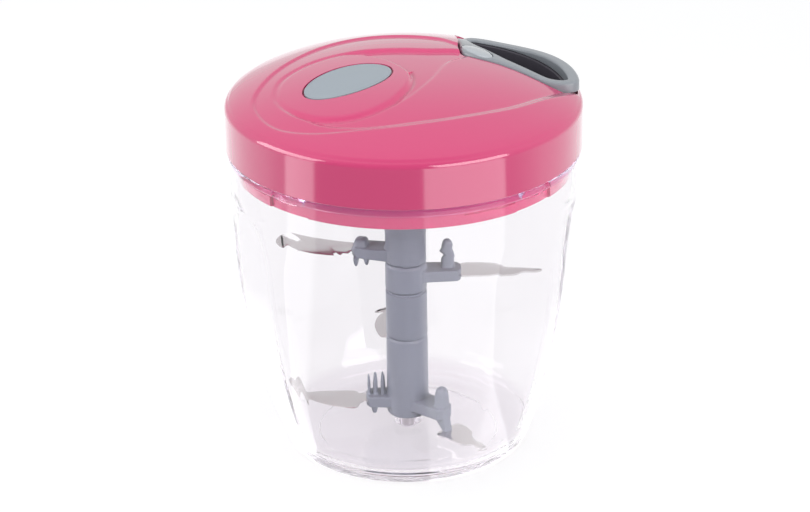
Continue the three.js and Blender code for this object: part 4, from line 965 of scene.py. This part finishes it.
carrier = spun("pawl_disc", [(0, 118.8), (14.9, 118.8), (15.2, 119.1), (15.2, 121.3), (14.9, 121.6),
                             (0, 121.6)], 72)
carrier = joined(carrier, [disc(x, 0, 1.5, 121.3, 125.4, 32) for x in (10, -10)], "UNION")
carrier = joined(carrier, [disc(0, 0, 5.3, 110, 130, 6)], "DIFFERENCE")
smooth(carrier, 30)
finished(carrier, white, "drive", "white_plastic", "pawl_carrier")


# The reel, its spring and its axle
# The white reel has a ratchet inside its lower lip, a spool for the cord and a cup for the clock spring,
# under a thin steel cover. It turns on a steel axle that a screw and a washer hold to the lid.
reel = spun("cord_spool", [
    (3.3, 119.6), (22.2, 119.6), (22.5, 119.9), (22.5, 133.2), (22.2, 133.5), (16.3, 133.5), (16, 133.8),
    (16, 145.2), (16.3, 145.5), (22.2, 145.5), (22.5, 145.8), (22.5, 146.7), (22.2, 147), (14.3, 147),
    (14, 146.7), (14, 136.3), (13.7, 136), (3.3, 136), (3.3, 119.6)], 120)
teeth = [(radius * math.cos(math.radians(a + 30 * number)), radius * math.sin(math.radians(a + 30 * number)))
         for number in range(12) for radius, a in ((19.8, -30.67), (17.6, -9.67))]
reel = joined(reel, [slab("ratchet", np.array(teeth), 110, 130)], "DIFFERENCE")
smooth(reel, 30)
finished(reel, white, "reel", "white_plastic", "cord_reel")
cover_disc = spun("spring_lid", [(4.9, 145.8), (5, 145.7), (13.6, 145.7), (13.7, 145.8), (13.7, 146.6),
                                 (13.6, 146.7), (5, 146.7), (4.9, 146.6), (4.9, 145.8)], 72)
smooth(cover_disc, 30)
finished(cover_disc, zinc, "reel", "steel", "spring_cover")
axle = spun("reel_spindle", [
    (1.5, 129.7), (2.8, 129.7), (3, 129.9), (3, 136.3), (4.4, 136.3), (4.6, 136.5), (4.6, 146.9),
    (4.4, 147.1), (3, 147.1), (3, 149.3), (2.7, 149.6), (0, 149.6), (0, 138), (1.5, 138), (1.5, 129.7)], 48)
smooth(axle, 30)
finished(axle, zinc, "lid", "steel", "reel_axle")
washer = spun("spindle_washer", [(1.5, 128.7), (1.6, 128.6), (5.9, 128.6), (6, 128.7), (6, 129.3),
                                 (5.9, 129.4), (1.6, 129.4), (1.5, 129.3), (1.5, 128.7)], 48)
smooth(washer, 30)
finished(washer, zinc, "lid", "steel", "axle_washer")
spindle_screw = cross_screw("spindle_screw", 2.8, 1.8, 1.2, 8)
co = places_of(spindle_screw)
co[:, 2] += 126.5 * mm
put(spindle_screw, co)
finished(spindle_screw, zinc, "lid", "steel", "axle_screw")
spring_steel = bright("blued_spring", (0.3, 0.32, 0.38), 0.28)
for name, metal in (("clock_spring", spring_steel), ("pawl_1", zinc), ("pawl_2", zinc), ("shaft_core", zinc)):
    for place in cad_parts[name].material_slots:
        place.material = metal


# The cord
# A white braided cord, 1.8 mm thick. Four turns lie on the spool; its end leaves through the eyelet in the
# recess wall and is knotted inside the handle's web.
def tube(name, path, radius, sides=12, closed=False):
    """A round cord drawn along a path."""
    path = np.array(path, float)
    if closed:
        path = np.vstack([path, path[:1]])
    along = np.gradient(path, axis=0)
    if closed:
        along[0] = along[-1] = path[1] - path[-2]
    along /= np.linalg.norm(along, axis=1)[:, None]
    side = np.cross(along[0], (0, 0, 1))
    rows = []
    for place, way in zip(path, along):
        side = side - way * np.dot(side, way)
        side /= np.linalg.norm(side)
        over = np.cross(way, side)
        turns = np.linspace(0, 2 * math.pi, sides + 1)
        rows.append([place + radius * (math.cos(t) * side + math.sin(t) * over) for t in turns])
    if closed:
        rows[-1] = rows[0]
    else:
        rows = [[path[0]] * (sides + 1), *rows, [path[-1]] * (sides + 1)]
    return lofted(name, rows)


def braid(name, along, around=3):
    """Braided yarn: two crossing spirals of strands, along the cord's own map."""
    material = moulded(name, (0.86, 0.84, 0.8), 0.7, speck=0.05, grain=2500, bump_height=0.00004)
    split = node(material, "SeparateXYZ")
    link(material, node(material, "TexCoord").outputs["UV"], split.inputs[0])
    round_it = worked(material, "MULTIPLY", split.outputs["X"], around * 2 * math.pi)
    strands = []
    for way in (1, -1):
        down_it = worked(material, "MULTIPLY", split.outputs["Y"], along * way * 2 * math.pi)
        strands.append(worked(material, "SINE", worked(material, "ADD", round_it, down_it)))
    weave = node(material, "Bump", {"Strength": 0.8, "Distance": 0.00012})
    link(material, worked(material, "MAXIMUM", *strands), weave.inputs["Height"])
    link(material, weave.outputs[0], material.node_tree.nodes["Principled BSDF"].inputs["Normal"])
    return material


cord_radius, coil_radius, coil_pitch, coil_turns, coil_steps = 0.9, 17.2, 2.35, 4, 48
leave = -math.acos(coil_radius / 23)
coil = []
for step in range(coil_turns * coil_steps + 1):
    back = coil_turns - step / coil_steps
    a = leave - back * 2 * math.pi
    coil.append((coil_radius * math.cos(a), coil_radius * math.sin(a), cord_z - back * coil_pitch))
winding = tube("cord_coil", coil, cord_radius, 10)
smooth(winding, 60)
finished(winding, braid("coil_braid", 216), "reel", "cord", "cord_winding")

last = np.array(coil[-1])
bend, out = np.array((23.7, 0, cord_z)), np.array((25.9, 0, cord_z))
start = last + (bend - last) * 0.05
turn_in = last + (bend - last) * 0.78
lead_path = [start + (turn_in - start) * t for t in np.linspace(0, 1, 10, endpoint=False)]
lead_path += [(1 - t) ** 2 * turn_in + 2 * t * (1 - t) * bend + t * t * out
              for t in np.linspace(0, 1, 12, endpoint=False)]
lead_path += [np.array((x, 0, cord_z)) for x in np.linspace(25.9, 31.1, 50)]
lead = tube("cord_end", lead_path, cord_radius, 12)
smooth(lead, 60)
lead.data.materials.clear()
lead.data.materials.append(braid("lead_braid", 9))
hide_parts("cord_lead")
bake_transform(lead)

knot_size, loops = 0.53, []
for t in np.linspace(0, 2 * math.pi, 90, endpoint=False):
    loops.append((knot_x + knot_size * (math.cos(t) - 2 * math.cos(2 * t)),
                  knot_size * (math.sin(t) + 2 * math.sin(2 * t)), cord_z - 0.75 * math.sin(3 * t)))
knot = tube("cord_overhand", loops, 0.72, 10, closed=True)
smooth(knot, 60)
finished(knot, braid("knot_braid", 14), "handle", "cord", "cord_knot")

eyelet = spun("cord_bushing", [(1.9, 23.1), (2.5, 23), (3.5, 23), (3.8, 23.25), (3.8, 23.7), (3.6, 23.9),
                               (2.9, 23.9), (2.9, 26), (2.7, 26.2), (1.5, 26.2), (1.2, 25.9), (1.2, 24.5),
                               (1.4, 23.7), (1.9, 23.1)], 48)
co = places_of(eyelet)
put(eyelet, np.stack([co[:, 2], co[:, 1], cord_z * mm - co[:, 0]], 1))
smooth(eyelet, 40)
finished(eyelet, handle_grey, "lid", "handle_grey", "cord_eyelet")
